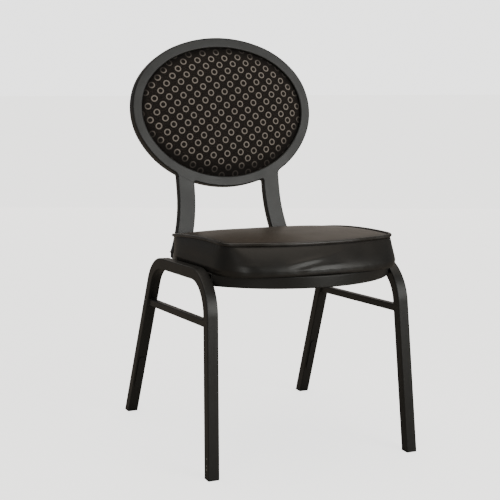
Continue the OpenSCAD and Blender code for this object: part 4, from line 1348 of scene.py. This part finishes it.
rows = bmesh.new()
for seed, inset in enumerate(staple_insets):
    row = raised(shrunk(low_line, inset), -cover_t - staple_proud + staple_wire / 2)
    rows.from_mesh(run_tool(staple_nodes, line_mesh(row, True), {
        "Step": staple_step, "Size": (staple_w, staple_wire, staple_wire), "Seed": seed,
        "Wire": zinc}))
mesh = bpy.data.meshes.new("staples")
rows.to_mesh(mesh)
mesh.transform(seat_plane)
piece_of("staples", mesh, slot="zinc", material=zinc)

# Ring-patterned fabric of the back
# A dark brown weave with pale rings woven in on a slanting square lattice. The weave has fine
# threads, a few lighter flecks, and rings whose edges step from thread to thread. Near the pad's
# rim the rings and flecks are painted darker, a painted shade where the pad curves away from the
# light.
fabric_ground = (0.0080, 0.0058, 0.0046)
fabric_fleck = (0.085, 0.066, 0.053)
fabric_ring = (0.43, 0.38, 0.335)
thread = 0.00062
thread_depth = 0.00018
ring_step_a = (0.01983, -0.01569)
ring_step_b = (-0.01673, -0.01857)
ring_place = (0.0251, -0.0363)
ring_middle_r = 0.0067
ring_line = 0.0018
ring_solid = 0.55
# How much of the pattern is left in the painted shade at the rim
pattern_left_in_rim_shade = 0.16
under_shown = 0.72

# Weave: threads that pass over and under each other, on a map in metres
weave, given = effect("weave", {"Place": None, "Thread": 0.0006}, ["Height", "Under"])
cells = passed(weave, "ShaderNodeVectorMath",
               {0: given["Place"], 3: per_metre(weave, given["Thread"])}, operation="SCALE")
cells = linked(weave, "ShaderNodeSeparateXYZ", {0: cells}).outputs
waves = [worked(weave, "SINE", worked(weave, "MULTIPLY", cells[axis], pi)) for axis in "XY"]
crossing = worked(weave, "MULTIPLY", *waves)
give(weave, Height=worked(weave, "POWER", worked(weave, "ABSOLUTE", crossing), 0.5),
     Under=worked(weave, "GREATER_THAN", crossing, 0.0))


def lattice(tree, place):
    """How far each place lies from the middle of its nearest ring, in metres."""
    across = ring_step_a[0] * ring_step_b[1] - ring_step_a[1] * ring_step_b[0]
    counts = ((ring_step_b[1] / across, -ring_step_b[0] / across, 0),
              (-ring_step_a[1] / across, ring_step_a[0] / across, 0))
    parts = []
    for count, step in zip(counts, (ring_step_a, ring_step_b)):
        share = worked(tree, "WRAP", measured(tree, "DOT_PRODUCT", place, count), 0.5, -0.5)
        parts.append(passed(tree, "ShaderNodeVectorMath", {0: (*step, 0), 3: share},
                            operation="SCALE"))
    offset = passed(tree, "ShaderNodeVectorMath", dict(enumerate(parts)), operation="ADD")
    return measured(tree, "LENGTH", offset)


ring_fabric, tree, shader = finish_of("ring-patterned fabric", fabric_ground, roughness=0.8,
                                      Specular_IOR_Level=0.3)
flat_place = passed(tree, "ShaderNodeUVMap", uv_map="weave")
woven = use_effect(tree, weave, Place=flat_place, Thread=thread)
on_thread = passed(tree, "ShaderNodeVectorMath", {0: flat_place, 1: (thread, thread, 1)},
                   operation="SNAP")
from_ring = passed(tree, "ShaderNodeVectorMath", {0: on_thread, 1: (*ring_place, 0)},
                   operation="SUBTRACT")
off_line = worked(tree, "ADD", lattice(tree, from_ring), -ring_middle_r)
off_line = worked(tree, "ABSOLUTE", off_line)
on_ring = stretched(tree, off_line, low=ring_line, high=ring_line * ring_solid)
flecks = noise(tree, flat_place, scale=420.0, detail=3.0, Roughness=0.7)
flecked = stretched(tree, flecks, low=0.48, high=0.72)
# Painted shade at the pad's rim: the rings and flecks fade there
painted_rim_shade = stretched(tree, mark_of(tree, "rim"), to_low=1.0, to_high=pattern_left_in_rim_shade)
sunk = stretched(tree, woven["Under"], to_low=1.0, to_high=under_shown)
shown = worked(tree, "MULTIPLY", worked(tree, "MULTIPLY", on_ring, painted_rim_shade), sunk)
flecked = worked(tree, "MULTIPLY", flecked, painted_rim_shade)
ground = blended(tree, flecked, fabric_ground, fabric_fleck)
dress(tree, shader, woven["Height"], thread_depth,
      Base_Color=blended(tree, shown, ground, fabric_ring))

# Pads of the back
# A crowned foam pad on a plywood board wears the patterned fabric, pulled tight over the
# board's edge and stapled behind it. A thin pad in vinyl on a hardboard panel closes the rear.
pad_clear = -0.0003
pad_rim = 0.0065
pad_crown = 0.0175
pad_edge_r = 0.003
pad_flat_w = 0.010
back_board_d = 0.006
back_board_t = 0.008
tab_t = 0.0025
panel_t = 0.003
panel_edge_r = 0.002
panel_flat_w = 0.008
panel_gap = 0.0002
rear_foam_t = 0.002
rear_crown = 0.006
rear_hem_in = 0.0015
back_hem_w = 0.020
pad_step = radians(3)
dome_rows = 20
dome_row_power = 1.5
dome_power = 5
front_fullness = 0.75
rear_fullness = 0.9
# How far in from the rim the pattern fades into painted shade: everywhere, more above, and most
# below
fade_all = 0.013
fade_above = 0.010
fade_below = 0.016
fade_strength = 1.7
hem_d = back_board_d + back_board_t + cover_t
panel_front_d = hem_d + tab_t
panel_rear_d = panel_front_d + panel_t
pad_line = np.array(oval(ring_face + pad_clear, pad_step))


def dome(line, base, crown, way, fullness):
    """Rings over a pad from its rim almost to its middle, way 1 to the front and -1 behind."""
    shares = [1 - (k / dome_rows) ** dome_row_power for k in range(1, dome_rows)]
    return [raised(line * share, base + way * crown * (1 - share ** dome_power) ** fullness)
            for share in shares]


def ring_places(rings, line):
    """Flat places of a pad's rings, as the cloth lay before it was pulled round the edge."""
    out = widened(line, 1.0) - line
    places = [ring[:, :2] + out * np.maximum(0, -pad_rim - ring[:, 2])[:, None] for ring in rings]
    return np.vstack(places + [[(0, 0)], [(0, 0)]])


back_hem_line = widened(pad_line, -back_hem_w)
rings = [raised(back_hem_line, -hem_d + hem_up), raised(back_hem_line, -hem_d)]
rings += [raised(widened(pad_line, -inset), -hem_d) for inset in (pad_flat_w, pad_edge_r)]
rings += rolled_edge(pad_line, -hem_d, pad_edge_r)
rings += [raised(pad_line, -hem_d + pad_edge_r + (hem_d - pad_edge_r - pad_rim) * share)
          for share in (0.35, 0.7, 1.0)]
held = [1] * len(pad_line) * len(rings) + [0] * len(pad_line) * (dome_rows - 1) + [1, 0]
rings += dome(pad_line, -pad_rim, pad_crown, 1, front_fullness)
front_mesh = ring_skin("back_pad_front", rings, (0, 0, -hem_d + hem_up),
                       (0, 0, -pad_rim + pad_crown))
layer = front_mesh.uv_layers.new(name="weave")
corner_vertex = np.empty(len(front_mesh.loops), dtype=int)
front_mesh.loops.foreach_get("vertex_index", corner_vertex)
layer.data.foreach_set("uv", ring_places(rings, pad_line)[corner_vertex].astype(float).ravel())
front_mesh = blown_up(front_mesh, held, cap=0.003)
points = positions(front_mesh)
to_rim = distance_to(np.array(oval(ring_face + pad_clear, pad_step / 2)), points)
steep = np.abs(points[:, 1]) / np.maximum(np.linalg.norm(points[:, :2], axis=1), 1e-6)
fade_reach = fade_all + fade_above * steep + fade_below * steep * (points[:, 1] < 0)
# Marks how deep in the painted rim shade each point lies
marked(front_mesh, "rim", np.clip(fade_strength * (1 - to_rim / fade_reach), 0, 1))
front_mesh.transform(back_plane)
front_pad = piece_of("back_pad_front", front_mesh, "back_front_cover", "back_foam",
                     slot="ring_fabric", material=ring_fabric)

rear_base = -panel_rear_d - rear_foam_t
edge_z = -panel_front_d - panel_edge_r - panel_gap
rings = dome(pad_line, rear_base, rear_crown + cover_t, -1, rear_fullness)[::-1]
free_rings = len(rings)
rings += [raised(pad_line, z) for z in (rear_base, (rear_base - panel_front_d) / 2, edge_z)]
for a in roll_turns:
    rings.append(raised(widened(pad_line, -panel_edge_r * (1 - cos(a))),
                        edge_z + panel_edge_r * sin(a)))
rings += [raised(widened(pad_line, -inset), -panel_front_d - panel_gap)
          for inset in (panel_flat_w, back_hem_w)]
rings.append(raised(back_hem_line, -panel_front_d - rear_hem_in))
held = [0] * len(pad_line) * free_rings + [1] * len(pad_line) * (len(rings) - free_rings) + [0, 1]
rear_mesh = ring_skin("back_pad_rear", rings, (0, 0, rear_base - rear_crown - cover_t),
                      (0, 0, -panel_front_d - rear_hem_in))
rear_mesh = blown_up(rear_mesh, held, cap=0.002)
rear_mesh.transform(back_plane)
rear_pad = piece_of("back_pad_rear", rear_mesh, "back_rear_cover", "back_rear_foam",
                    slot="seat_vinyl", material=vinyl)
